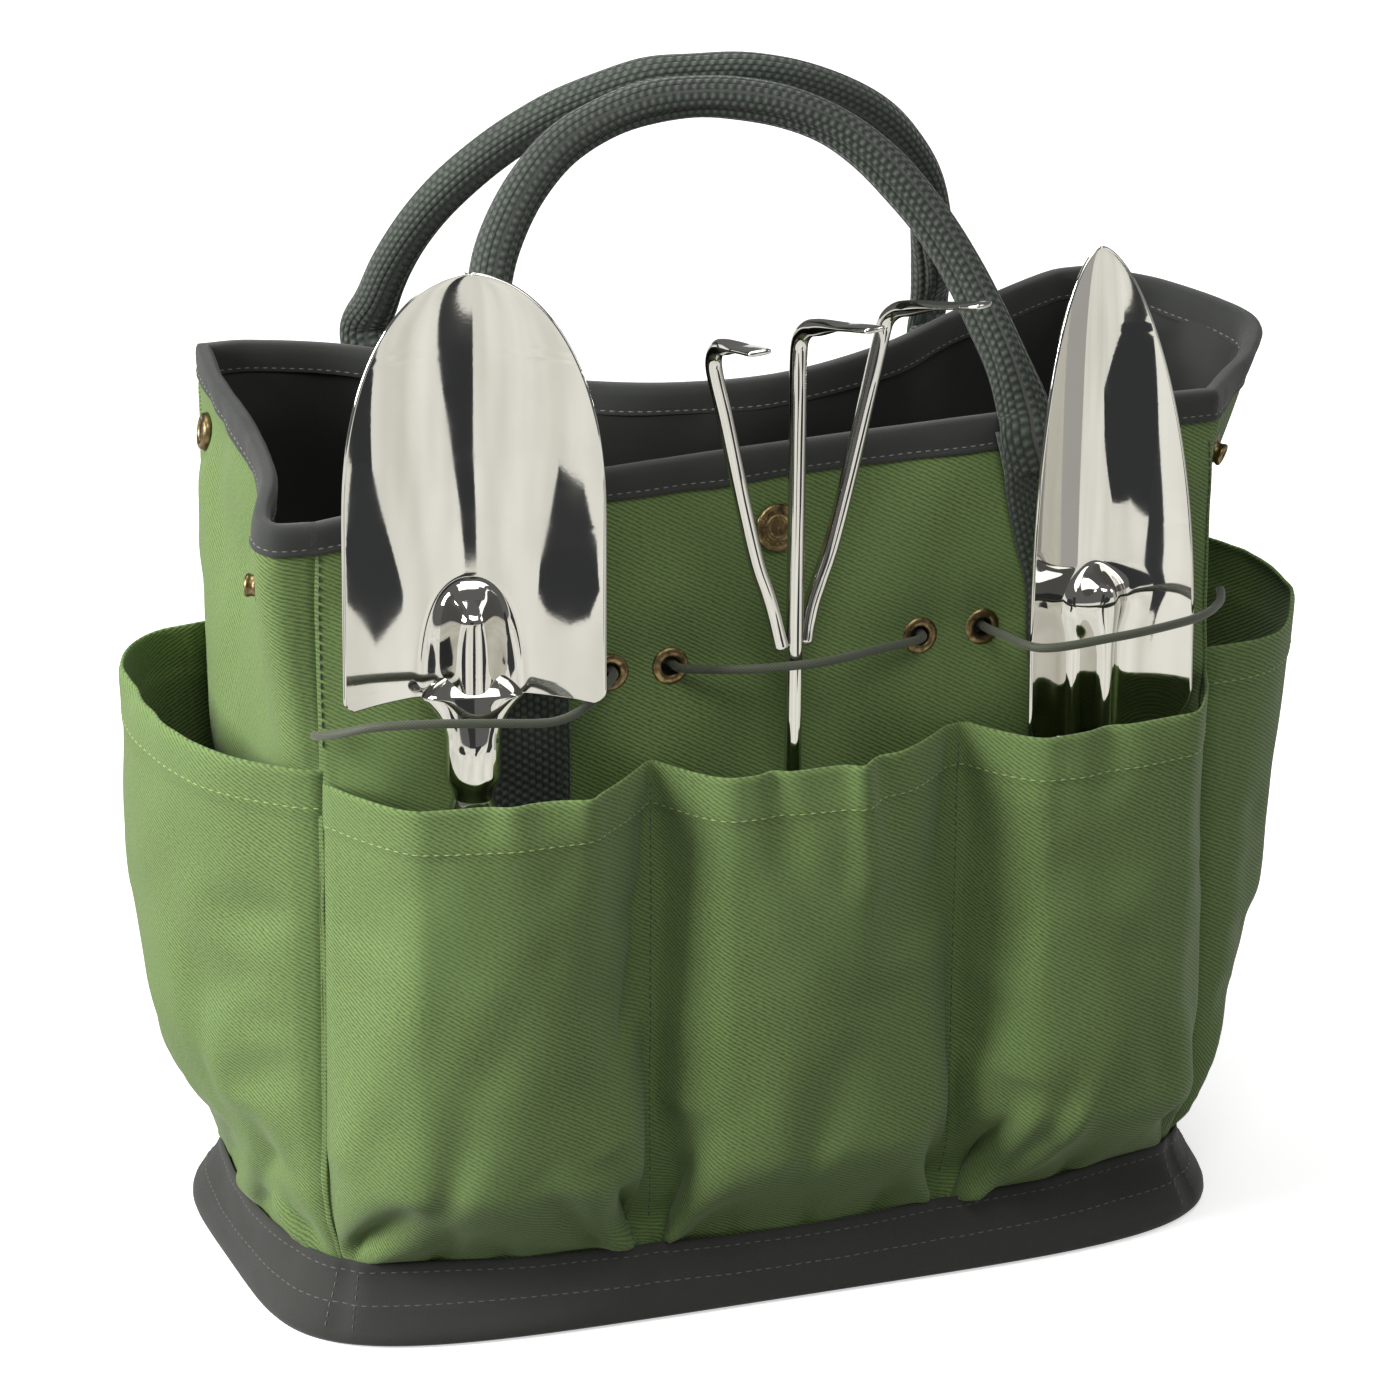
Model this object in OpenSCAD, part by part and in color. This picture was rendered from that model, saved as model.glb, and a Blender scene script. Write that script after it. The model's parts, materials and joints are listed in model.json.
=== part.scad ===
// Garden tool bag: a soft open-top tote with pockets all round, two webbing
// handles, an elastic tool retainer laced through eyelets, press studs, and
// three hand tools that lift out of the front pockets.
// Units are millimetres. +Z is up, the front of the bag faces -Y, and the
// origin is the centre of the flat base.

/* [Body] */
// Width between the front corner seams
body_w = 300; // [270:1:330]
// Depth between the corner seams
body_d = 124; // [112:1:150]
// Height of the front rim
rim_h = 285; // [265:1:310]
// Thickness of the outer canvas
canvas_t = 1.4; // [1:0.1:2]
// Thickness of the lining
lining_t = 0.8; // [0.6:0.1:1.2]

/* [Base] */
// Length of the base cover
base_w = 328; // [320:1:340]
// Depth of the base cover
base_d = 172; // [168:1:184]
// Height of the base cover's side band
band_h = 26; // [22:1:30]
// Thickness of the stiffening board
board_t = 2.5; // [2:0.5:4]

/* [Pockets] */
// Height of the front pocket rim
pocket_h = 191; // [180:1:200]
// How far the front pockets stand out from the panel
pocket_bulge = 27; // [26:1:30]

/* [Handles] */
// Width of the folded webbing
grip_w = 13.5; // [12:0.5:18]
// Thickness of the folded webbing
grip_t = 12; // [9:1:13]
// Width of the flat webbing legs
strap_w = 32; // [25:1:34]

/* [Hardware] */
// Radius of an eyelet's hole
eyelet_r = 2.8; // [2.6:0.1:3]
// Diameter of the elastic cord
elastic_d = 2.8; // [2.4:0.1:3]

/* [Tools] */
// Radius of the wooden handles
tool_r = 12; // [10:0.5:12.5]
// Length of the trowel's blade
trowel_len = 135; // [125:1:145]
// Width of the trowel's blade
trowel_w = 80; // [74:1:88]

/* [Hidden] */
$fn = 48;

green = [0.33, 0.50, 0.24];
grey = [0.22, 0.22, 0.22];
black = [0.05, 0.05, 0.06];
webbing = [0.07, 0.13, 0.10];
brass = [0.42, 0.33, 0.16];
steel = [0.80, 0.80, 0.78];
ash = [0.72, 0.54, 0.34];
olive = [0.29, 0.34, 0.25];

function clamp01(t) = min(1, max(0, t));
function sm(t) = let (c = clamp01(t)) c * c * (3 - 2 * c);
function sgn(v) = v < 0 ? -1 : 1;
function gauss(t) = exp(-t * t);
function norm2(v) = v / norm(v);

// ---- shape of the bag's outer canvas -------------------------------------
zlow = 21;                       // the panels end inside the base band
cxl = body_w / 2;
cyl = body_d / 2;
function flare(z) = 1 / (1 + pow(max(0, z - 20) / 15, 2));
function cx(z) = cxl - 7 * flare(z);
function cy(z) = cyl - 4 * flare(z);
function bf(z) = 3 + 9 * (1 - sm((z - 190) / 95)) + 8.5 * flare(z);
function bl(z) = 6 + 6 * flare(z);
function br(z) = 10 + 2 * flare(z) + 26 * pow(clamp01((z - 120) / 165), 2);
function pinch(x, z) = 52 * gauss((x - 28) / 80) * pow(sm((z - 145) / 140), 1.1);
// s runs 0..4 round the bag: front, right, back, left
function px(s, z) =
  s < 1 ? cx(z) * (2 * s - 1) :
  s < 2 ? cx(z) + br(z) * (1 - pow(2 * s - 3, 2)) :
  s < 3 ? cx(z) * (5 - 2 * s) :
  -cx(z) - bl(z) * (1 - pow(2 * s - 7, 2));
function py(s, z) =
  s < 1 ? -(cy(z) + bf(z) * (1 - pow(2 * s - 1, 2))) :
  s < 2 ? cy(z) * (2 * s - 3) :
  s < 3 ? cy(z) + bf(z) * (1 - pow(5 - 2 * s, 2)) - pinch(cx(z) * (5 - 2 * s), z) :
  cy(z) * (7 - 2 * s);
// height of the rim round the bag
function zt(s) =
  s < 1 ? rim_h - 9 * (1 - sm(s / 0.35)) :
  s < 2 ? rim_h + 5 * (s - 1) :
  s < 3 ? rim_h + 5 + 3 * (s - 2) - 11 * gauss((cxl * (5 - 2 * s) - 28) / 70) * sm((s - 2) / 0.25) :
  rim_h + 8 - 17 * (s - 3);
// a point of the canvas at ring place s and share w of its height, moved out by o
eps = 0.004;
function side(s) = min(3, floor(s));
function bent(s, zz) =
  let (k = side(s), a = max(k, s - eps), b = min(k + 0.9999, s + eps),
       t = [px(b, zz) - px(a, zz), py(b, zz) - py(a, zz)])
  [t[1], -t[0]] / norm(t);
function body(s, w, o = 0, zb = zlow) =
  let (zz = zb + (rim_h - zb) * w, n = bent(s, zz))
  [px(s, zz) + n[0] * o, py(s, zz) + n[1] * o, zb + (zt(s) - zb) * w];
// the same by height
function skin(s, z, o = 0) = body(s, (z - zlow) / (zt(s) - zlow), o);
function sx(x) = (x / cx(200) + 1) / 2;      // ring place of a point at x on the front
// columns of what runs all the way round, in line with the panels' own columns
ring_s = concat([for (j = [0:13]) j / 14], [1], [for (j = [0:8]) 1.03 + 0.94 * j / 8],
  [for (j = [0:19]) 2 + j / 20], [3], [for (j = [0:8]) 3.03 + 0.94 * j / 8]);
// outward direction, mitred at the corners
function mitre(s, z) = s > floor(s) ? bent(s, z) :
  let (n1 = bent((s == 0 ? 4 : s) - 0.001, z), n2 = bent(s + 0.001, z))
  (n1 + n2) / (1 + n1 * n2);

// ---- closed solids from grids of points -----------------------------------
// rows of points on an outer face and on an inner face; columns x rows points outward
module sheet(A, B) {
  n = len(A); m = len(A[0]);
  pts = concat([for (r = A) each r], [for (r = B) each r]);
  q = n * m;
  function a(i, j) = i * m + j;
  function b(i, j) = q + i * m + j;
  faces = concat(
    [for (i = [0:n-2]) for (j = [0:m-2]) each [[a(i,j), a(i+1,j), a(i+1,j+1)], [a(i,j), a(i+1,j+1), a(i,j+1)]]],
    [for (i = [0:n-2]) for (j = [0:m-2]) each [[b(i,j), b(i+1,j+1), b(i+1,j)], [b(i,j), b(i,j+1), b(i+1,j+1)]]],
    [for (j = [0:m-2]) each [[a(0,j), a(0,j+1), b(0,j+1)], [a(0,j), b(0,j+1), b(0,j)]]],
    [for (j = [0:m-2]) each [[a(n-1,j+1), a(n-1,j), b(n-1,j)], [a(n-1,j+1), b(n-1,j), b(n-1,j+1)]]],
    [for (i = [0:n-2]) each [[a(i+1,0), a(i,0), b(i,0)], [a(i+1,0), b(i,0), b(i+1,0)]]],
    [for (i = [0:n-2]) each [[a(i,m-1), a(i+1,m-1), b(i+1,m-1)], [a(i,m-1), b(i+1,m-1), b(i,m-1)]]]);
  polyhedron(pts, faces, convexity = 8);
}
// rings of points joined one after another, closed at both ends or into a loop
module loft(R, loop = false) {
  n = len(R); m = len(R[0]);
  pts = [for (r = R) each r];
  last = loop ? n - 1 : n - 2;
  faces = concat(
    [for (i = [0:last]) for (j = [0:m-1]) let (i2 = (i + 1) % n, j2 = (j + 1) % m)
      each [[i*m+j, i2*m+j, i2*m+j2], [i*m+j, i2*m+j2, i*m+j2]]],
    loop ? [] : [[for (j = [0:m-1]) j]],
    loop ? [] : [[for (j = [m-1:-1:0]) (n-1)*m+j]]);
  polyhedron(pts, faces, convexity = 6);
}
// a smooth line through points
function cat(p0, p1, p2, p3, t) = 0.5 * ((2 * p1) + (p2 - p0) * t + (2*p0 - 5*p1 + 4*p2 - p3) * t*t + (3*p1 - p0 - 3*p2 + p3) * t*t*t);
function smooth_line(P, k) = concat([for (i = [0:len(P)-2]) for (t = [0:k-1])
  cat(P[max(0,i-1)], P[i], P[i+1], P[min(len(P)-1,i+2)], t / k)], [P[len(P)-1]]);
// a tube with a superelliptic section; wide and thick give its half sizes at each point
module tube(L, wide, thick, side_dir, sides = 10, sq = 2) {
  n = len(L);
  loft([for (i = [0:n-1])
    let (t = norm2(L[min(n-1,i+1)] - L[max(0,i-1)]),
         d = is_list(side_dir[0]) ? side_dir[i] : side_dir,
         u = norm2(d - t * (d * t)), v = cross(t, u))
    [for (j = [0:sides-1]) let (a = 360 * j / sides, c = cos(a), s = sin(a))
      L[i] + u * (wide[i] * sgn(c) * pow(abs(c), 2/sq)) + v * (thick[i] * sgn(s) * pow(abs(s), 2/sq))]]);
}

// ---- base -------------------------------------------------------------------
function oval(a, b, n, k = 72) = [for (i = [0:k-1]) let (t = 360 * i / k, c = cos(t), s = sin(t))
  [a * sgn(c) * pow(abs(c), 2/n), b * sgn(s) * pow(abs(s), 2/n)]];
module base_cover() color(grey) difference() {
  linear_extrude(band_h) polygon(oval(base_w/2, base_d/2, 4.6));
  translate([0, 0, 1.6]) linear_extrude(band_h) polygon(oval(base_w/2 - 1.4, base_d/2 - 1.4, 4.6));
}
module base_board() color([0.15, 0.15, 0.14]) translate([0, 0, 1.8]) linear_extrude(board_t)
  polygon(oval(148, 66, 5));

// ---- canvas panels -----------------------------------------------------------
zrows = [0, 0.03, 0.07, 0.12, 0.18, 0.27, 0.38, 0.46, 0.54, 0.61, 0.67, 0.73, 0.79, 0.85, 0.91, 0.96, 1];
module panel(s0, s1, cols) sheet(
  [for (w = zrows) [for (j = [0:cols]) body(s0 + (s1 - s0) * j / cols, w)]],
  [for (w = zrows) [for (j = [0:cols]) body(s0 + (s1 - s0) * j / cols, w, -canvas_t)]]);
eyelet_x = [-57, -37, 46, 67];
eyelet_z = 220;
// stand children on the canvas, their z axis pointing straight out of it
module stand(s, z) {
  p = skin(s, z);
  n = norm2(cross(skin(s + 0.01, z) - skin(s - 0.01, z), skin(s, z + 4) - skin(s, z - 4)));
  u = norm2(cross([0, 0, 1], n));
  v = cross(n, u);
  multmatrix([[u[0], v[0], n[0], p[0]], [u[1], v[1], n[1], p[1]], [u[2], v[2], n[2], p[2]], [0, 0, 0, 1]]) children();
}
module at_front(x, z) stand(sx(x), z) children();
module eyelet_holes() for (x = eyelet_x) at_front(x, eyelet_z) cylinder(r = 3.9, h = 16, center = true, $fn = 32);
module front_panel() color(green) difference() {
  panel(0.0002, 0.9998, 14);
  eyelet_holes();
  at_front(1, 261) cylinder(r = 2, h = 12, center = true, $fn = 24);
}
snap_s = 2 + (1 - 20 / cxl) / 2;
module at_back() stand(snap_s, 250) children();
module back_panel() color(green) difference() {
  panel(2.0002, 2.9998, 20);
  at_back() cylinder(r = 2, h = 24, center = true, $fn = 24);
}
// press studs of the gussets: [ring place, height]
sockets = [[1.8, 262], [3.1, 269]];
studs = [[1.2, 258], [3.8, 250]];
module at_side(q) stand(q[0], q[1]) children();
module left_side_panel() color(green) difference() {
  panel(3.03, 3.97, 8);
  for (q = [sockets[1], studs[1]]) at_side(q) cylinder(r = 2, h = 16, center = true, $fn = 24);
}
module right_side_panel() color(green) difference() {
  panel(1.03, 1.97, 8);
  for (q = [sockets[0], studs[0]]) at_side(q) cylinder(r = 2, h = 16, center = true, $fn = 24);
}

// ---- lining --------------------------------------------------------------------
lin_o = -(canvas_t + 0.6);
zlin = 6.4;
function lin_row(w, o, z0) = [for (s = ring_s) let (q = body(s, w), n = mitre(s, zlow + (rim_h - zlow) * w))
  [q[0] + n[0] * o, q[1] + n[1] * o, z0 > 0 ? z0 : q[2]]];
module lining() color(black) {
  difference() {
    ring_shell(concat([lin_row(0, lin_o, zlin)], [for (w = zrows) lin_row(w, lin_o, 0)]),
               concat([lin_row(0, lin_o - lining_t, zlin)], [for (w = zrows) lin_row(w, lin_o - lining_t, 0)]));
    eyelet_holes();
    at_front(1, 261) cylinder(r = 2, h = 12, center = true, $fn = 24);
    at_back() cylinder(r = 2, h = 24, center = true, $fn = 24);
    for (q = concat(sockets, studs)) at_side(q) cylinder(r = 2, h = 16, center = true, $fn = 24);
  }
  translate([0, 0, 4.6]) linear_extrude(0.9) polygon(oval(140, 58, 6));
}
// a closed wall from rings of outer and inner points
module ring_shell(A, B) {
  n = len(A); m = len(A[0]); q = n * m;
  pts = concat([for (r = A) each r], [for (r = B) each r]);
  function a(i, j) = i * m + (j % m);
  function b(i, j) = q + i * m + (j % m);
  faces = concat(
    [for (i = [0:n-2]) for (j = [0:m-1]) each [[a(i,j), a(i+1,j), a(i+1,j+1)], [a(i,j), a(i+1,j+1), a(i,j+1)]]],
    [for (i = [0:n-2]) for (j = [0:m-1]) each [[b(i,j), b(i+1,j+1), b(i+1,j)], [b(i,j), b(i,j+1), b(i+1,j+1)]]],
    [for (j = [0:m-1]) each [[a(0,j), a(0,j+1), b(0,j+1)], [a(0,j), b(0,j+1), b(0,j)]]],
    [for (j = [0:m-1]) each [[a(n-1,j+1), a(n-1,j), b(n-1,j)], [a(n-1,j+1), b(n-1,j), b(n-1,j+1)]]]);
  polyhedron(pts, faces, convexity = 8);
}

// ---- rim binding: a tape folded over the top edges -----------------------------
bind_h = 10;
function bind_pt(s, o, d) = // o outward from the canvas, d down from the rim
  let (w = (zt(s) - max(0, d) - zlow) / (zt(s) - zlow), q = body(s, w), n = mitre(s, zlow + (rim_h - zlow) * w))
  [q[0] + n[0] * o, q[1] + n[1] * o, zt(s) - d];
module rim_binding() color(grey) loft([for (s = ring_s)
  [for (q = [[0.4, -0.3], [-3.5, -0.3], [-3.5, bind_h], [-4.5, bind_h], [-4.5, -1.3], [1.4, -1.3], [1.4, bind_h], [0.4, bind_h]])
    bind_pt(s, q[0], q[1])]], loop = true);

// ---- pockets --------------------------------------------------------------------
// the dividing seams of the front pockets
seam_x = [-150, -47, 57, 150];
function lobe(t) = pow(max(0, 1 - pow(abs(2*t - 1), 2.6)), 0.75);
function rise(z) = sm((z - 24) / 22);
pz = [0, 0.05, 0.12, 0.22, 0.4, 0.6, 0.8, 1];
function pocket_in(k, t) = 1;
// columns of the strip: pocket number and share of its width
fcols = concat([for (p = [0:2]) for (j = [0:7]) [p, j / 8]], [[2, 1]]);
function strip_pt(c, w, o, sign, top, bulge) =
  let (x0 = seam_x[c[0]] * 0.992, x1 = seam_x[c[0]+1] * 0.992, x = x0 + (x1 - x0) * c[1],
       z = zlow + (top - zlow) * w,
       s = sign > 0 ? (x / cxl + 1) / 2 : 2 + (1 - x / cxl) / 2,
       q = body(clamp01(s - (sign > 0 ? 0 : 2)) * 0.9998 + (sign > 0 ? 0 : 2), (z - zlow) / (zt(s) - zlow)),
       out = 2.5 + bulge * lobe(c[1]) * rise(z) + o)
  [x * cx(z) / cxl, q[1] - sign * out, z];
module front_pocket_strip() color(green) sheet(
  [for (w = pz) [for (c = fcols) strip_pt(c, w, 1.2, 1, pocket_h, pocket_bulge)]],
  [for (w = pz) [for (c = fcols) strip_pt(c, w, 0, 1, pocket_h, pocket_bulge)]]);
rcols = [for (i = [len(fcols)-1:-1:0]) fcols[i]];
module back_pocket_strip() color(green) sheet(
  [for (w = pz) [for (c = rcols) strip_pt(c, w, 1.2, -1, pocket_h, 16)]],
  [for (w = pz) [for (c = rcols) strip_pt(c, w, 0, -1, pocket_h, 16)]]);
side_top = 200;
function side_pt(t, w, o, k, bulge) =
  let (z = zlow + (side_top - zlow) * w, s = k + 0.03 + 0.94 * t,
       q = body(s, (z - zlow) / (zt(s) - zlow)),
       out = 0.5 + bulge * pow(max(0, 1 - pow(abs(2*t - 1), 3)), 0.8) * rise(z) * (0.7 + 0.3 * sm((z - 40) / 140)) + o)
  [q[0] + (k == 1 ? out : -out), q[1], z];
module side_pocket(k, bulge) sheet(
  [for (w = pz) [for (j = [0:10]) side_pt(j / 10, w, 1.2, k, bulge)]],
  [for (w = pz) [for (j = [0:10]) side_pt(j / 10, w, 0, k, bulge)]]);
module left_pocket() color(green) side_pocket(3, 24);
module right_pocket() color(green) side_pocket(1, 26);

// ---- webbing handles --------------------------------------------------------------
// legs of flat webbing, sewn to the panels from the base to the rim
function leg_x(z, low, high) = low + (high - low) * sm((z - 225) / 60);
legz = [23, 32, 44, 60, 90, 130, 170, 210, 235, 250, 260, 267, 273, 278];
function leg_off(z, top) = 0.5 + 1.3 * sm((z - top + 24) / 6);
module front_leg(low, high) sheet(
  [for (z = legz) [for (j = [0:4]) let (x = leg_x(z, low, high) + (j/4 - 0.5) * strap_w * (1 - 0.4 * sm((z-240)/42)),
     q = skin((x / cx(z) + 1) / 2, z, leg_off(z, rim_h) + 1.6)) [x, q[1], z]]],
  [for (z = legz) [for (j = [0:4]) let (x = leg_x(z, low, high) + (j/4 - 0.5) * strap_w * (1 - 0.4 * sm((z-240)/42)),
     q = skin((x / cx(z) + 1) / 2, z, leg_off(z, rim_h))) [x, q[1], z]]]);
module front_handle_straps() color(webbing) { front_leg(-88, -92); front_leg(97, 81); }
function back_s(x, z) = 2 + (1 - x / cx(z)) / 2;
module back_leg(x0) sheet(
  [for (z = legz) [for (j = [4:-1:0]) let (x = x0 + (j/4 - 0.5) * strap_w * (1 - 0.4 * sm((z-240)/42)), zz = min(z, zt(back_s(x0, 250)) - 3),
     q = skin(back_s(x, z), zz, leg_off(z, 286) + 2.1 + 0.9 * sm((z - 60) / 60))) [q[0], q[1], q[2]]]],
  [for (z = legz) [for (j = [4:-1:0]) let (x = x0 + (j/4 - 0.5) * strap_w * (1 - 0.4 * sm((z-240)/42)), zz = min(z, zt(back_s(x0, 250)) - 3),
     q = skin(back_s(x, z), zz, leg_off(z, 286) + 0.5 + 0.9 * sm((z - 60) / 60))) [q[0], q[1], q[2]]]]);
module back_handle_straps() color(webbing) { back_leg(-95); back_leg(93); }

// the arches swing about these lines
fh_a = [-92, -68.8, 288]; fh_b = [81, -68.8, 288];
bh_a = [-96, 70, 291]; bh_b = [94, 45.5, 286.5];
// points of an arch: place along the line from a to b, and height in its own plane
f_arch = [[-92, 1], [-93, 20], [-91, 42], [-85, 63.5], [-78.5, 76.5], [-69, 89], [-56.5, 100], [-42, 107], [-26.5, 111], [-10, 111.5], [4.5, 109.5], [20, 105], [34, 97.5], [45.5, 87], [54.5, 75], [62.5, 61.5], [69, 46.5], [75, 28], [79, 13], [81, 1]];
b_arch = [[-92, 1], [-89.5, 12], [-86, 27], [-80.5, 41.5], [-73, 55], [-63, 68], [-51, 80], [-35, 91.5], [-13.5, 101], [5.5, 103], [21.5, 102.5], [38, 98.5], [52, 92], [65, 82.5], [76.5, 69], [84.5, 55], [89.5, 37.5], [93, 16], [94, 1]];
function place(q, a, b, up) = let (ax = norm2(b - a), u = norm2(up - ax * (up * ax)), m = [(a[0] + b[0]) / 2, (a[1] + b[1]) / 2, (a[2] + b[2]) / 2])
  m + ax * (q[0] - (a[0] + b[0]) / 2) / abs(ax[0]) + u * q[1];
// flat where it leaves the bag, round in the hand
module arch(P, a, b, up, na, nb) {
  L = smooth_line([for (q = P) place(q, a, b, up)], 3);
  n = len(L);
  ax = norm2(b - a);
  nn = norm2(cross(ax, up));
  f = [for (i = [0:n-1]) sm(min(i, n - 1 - i) / 8)];
  dirs = [for (i = [0:n-1]) let (g = sm(min(i, n - 1 - i) / 12)) nn * g + (i < n / 2 ? na : nb) * (1 - g)];
  tube(L, [for (i = [0:n-1]) 2.4 + (grip_t / 2 - 2.4) * f[i]], [for (i = [0:n-1]) 9.5 - (9.5 - grip_w / 2) * f[i]], dirs, 12, 2.4);
}
module front_handle() color(webbing) arch(f_arch, fh_a, fh_b, [0, 54, 96], [0, -1, 0], [0, -1, 0]);
module back_handle() color(webbing) arch(b_arch, bh_a, bh_b, [0, -46, 105], [-0.1, -1, 0], [0.5, -0.87, 0]);

// ---- eyelets and press studs ---------------------------------------------------------
// the barrel and its rolled flange, set from outside; the washer is on the inside
module eyelet_front() rotate_extrude() polygon([[eyelet_r, -4], [3.6, -4], [3.6, 0.2], [6, 0.2], [6.1, 0.5], [5.7, 1.1], [4.6, 1.3], [3.4, 1.1], [eyelet_r, 0.5]]);
module eyelet_washer() rotate_extrude() polygon([[3.7, -3.3], [6, -3.3], [6, -3.9], [3.7, -3.9]]);
module front_eyelets() color(brass) for (x = eyelet_x) at_front(x, eyelet_z) eyelet_front();
module eyelet_washers() color(brass) for (x = eyelet_x) at_front(x, eyelet_z) eyelet_washer();
// z of each stud part runs outward from the canvas
module cap_profile() rotate_extrude() polygon([[0, 0.4], [7.3, 0.4], [7.6, 0.8], [7.2, 1.3], [6, 1.6], [5.6, 1.4], [0, 1.4]]);
module cap_post(deep) translate([0, 0, -deep]) cylinder(r = 1.6, h = deep + 0.45, $fn = 24);
module closing_snap_cap() color(brass) at_front(1, 261) { cap_profile(); cap_post(2.9); }
module closing_snap_stud() color(brass) at_front(1, 261) rotate_extrude()
  polygon([[1.7, -3.2], [5.6, -3.2], [5.6, -4], [3.2, -4.2], [2.6, -5.6], [2.9, -6.4], [2.4, -7], [0, -7], [0, -3.2], [1.7, -3.2]]);
module closing_snap_back_cap() color(brass) at_back() translate([0, 0, 1.2]) { cap_profile(); cap_post(4); }
module closing_snap_socket() color(brass) at_back() rotate_extrude()
  polygon([[0, -3.2], [5.6, -3.2], [6, -3.7], [5.6, -5.8], [4.4, -6.2], [3.5, -5.8], [3.5, -4.2], [0, -4.2]]);
module gusset_snap_sockets() color(brass) for (q = sockets) at_side(q) rotate_extrude()
  polygon([[0, 0.3], [6, 0.3], [6.3, 0.9], [5.8, 2.6], [4.8, 3], [3.6, 2.6], [3.6, 1.1], [0, 1.1]]);
module gusset_snap_studs() color(brass) for (q = studs) at_side(q) rotate_extrude()
  polygon([[0, 0.3], [5.9, 0.3], [5.9, 1.1], [3.6, 1.4], [3.3, 3.4], [3.8, 4.4], [3.3, 5.2], [2.2, 5.2], [2.2, 1.6], [0, 1.6]]);
module gusset_snap_posts() color(brass) for (q = concat(sockets, studs)) at_side(q) {
  translate([0, 0, -3.6]) cylinder(r = 1.5, h = 3.8, $fn = 24);
  rotate_extrude() polygon([[0, -3.5], [5.6, -3.5], [5.8, -3.9], [5.2, -4.4], [0, -4.4]]);
}

// ---- elastic cord ------------------------------------------------------------------
// from the left corner seam over the trowel, in and out of two eyelets, over the
// cultivator, in and out of two more, and over the transplanter to the right seam
ey = [for (x = eyelet_x) skin(sx(x), eyelet_z)];
cord_pts = [
  [-152, -64, 208], [-153, -72, 211], [-149, -82, 215], [-141, -90, 219], [-124, -95.5, 220], [-104, -96.5, 218], [-84, -95, 215.5], [-71, -89, 217],
  ey[0] + [-4.5, -9, -0.6], ey[0] + [-0.6, -4, 0], ey[0] + [0, 0, 0], ey[0] + [0.6, 4.4, 0], ey[0] + [4.5, 9, 0], ey[0] + [10, 10.6, 0],
  ey[1] + [-4.5, 9, 0], ey[1] + [-0.6, 4.4, 0], ey[1] + [0, 0, 0], ey[1] + [0.6, -4, 0], ey[1] + [5, -8.5, 0.6],
  [-20, -88.5, 222.3], [-4, -93, 223.2], [9, -91.5, 222.8], [28, -84, 221.6],
  ey[2] + [-5, -8, 0.6], ey[2] + [-0.6, -4, 0], ey[2] + [0, 0, 0], ey[2] + [0.6, 4.4, 0], ey[2] + [4.5, 9, 0], ey[2] + [10, 10.6, 0],
  ey[3] + [-4.5, 9, 0], ey[3] + [-0.6, 4.4, 0], ey[3] + [0, 0, 0], ey[3] + [0.6, -4, 0], ey[3] + [2.6, -13, 0.6],
  [75.5, -101, 222], [99, -103, 223.4], [119, -97.5, 222.6], [136, -87.5, 220.6], [147, -76, 219.6], [151, -68, 220], [151.5, -64, 221]];
module elastic_cord() color(olive) {
  L = smooth_line(cord_pts, 2);
  n = len(L);
  tube(L, [for (i = L) elastic_d / 2], [for (i = L) elastic_d / 2], [0, 0.02, 1], 8);
}

// ---- hand tools -----------------------------------------------------------------------
// every tool is drawn pointing up on its own axis, with z = 0 at the foot of its handle
trowel_at = [-107, -84.5, 62];    trowel_turn = -13;
cult_at = [-3, -88.5, 58];      cult_turn = 14;
plant_at = [104, -84.5, 60];      plant_turn = 9;
module wood(len) rotate_extrude($fn = 64) polygon(concat([[0, 0]],
  [for (i = [0:12]) let (a = 90 * i / 12) [(tool_r - 3) + 0 + 3 * sin(a) - 0, 3 - 3 * cos(a)]],
  [for (i = [1:10]) let (t = i / 10) [tool_r - 2.2 * sin(180 * t) * (1 - t * 0.3) - 2.6 * pow(t, 3), 3 + (len - 3) * t]],
  [[0, len]]));
module ferrule(z0, len, r0, r1) translate([0, 0, z0]) rotate_extrude($fn = 64) polygon([[0, 0.2], [r0, 0.2], [r0, len * 0.3], [r0 * 0.9 + r1 * 0.1, len * 0.45], [r1 * 1.15, len * 0.9], [r1, len], [0, len]]);
// a dished blade: half width and dish by share of length
function blade_row(zz, hw, dish, t0, cols, o, lift) = [for (j = [0:cols]) let (e = 2 * j / cols - 1)
  [hw * e, -dish * (pow(abs(e), 2.2)) - lift * gauss(e / 0.30) + o, zz]];
module blade(Z, H, D, Lf, cols, th) sheet(
  [for (i = [0:len(Z)-1]) blade_row(Z[i], H[i], D[i], 0, cols, -th/2, Lf[i])],
  [for (i = [0:len(Z)-1]) blade_row(Z[i], H[i], D[i], 0, cols, th/2, Lf[i])]);
// trowel: the socket is pressed out of the blade at its foot
function trowel_hw(t) = trowel_w / 2 * (t < 0.08 ? 0.93 + 0.07 * sm(t / 0.08) : t < 0.42 ? 1 : sqrt(max(0.0004, 1 - pow((t - 0.42) / 0.58, 2.5))));
tt = [0, 0.04, 0.09, 0.16, 0.24, 0.34, 0.46, 0.58, 0.68, 0.77, 0.85, 0.91, 0.955, 0.985, 1];
module placed(p, turn) translate(p) rotate([0, 0, turn]) children();
module trowel_blade() color(steel) placed(trowel_at, trowel_turn) translate([0, 8, 159])
  blade([for (t = tt) trowel_len * t], [for (t = tt) trowel_hw(t)], [for (t = tt) 16 * pow(trowel_hw(t) / (trowel_w/2), 1.6) * (1 - 0.25 * t)],
        [for (t = tt) 9 * pow(max(0, 1 - pow(t / 0.30, 2)), 0.7)], 16, 1.3);
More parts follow.
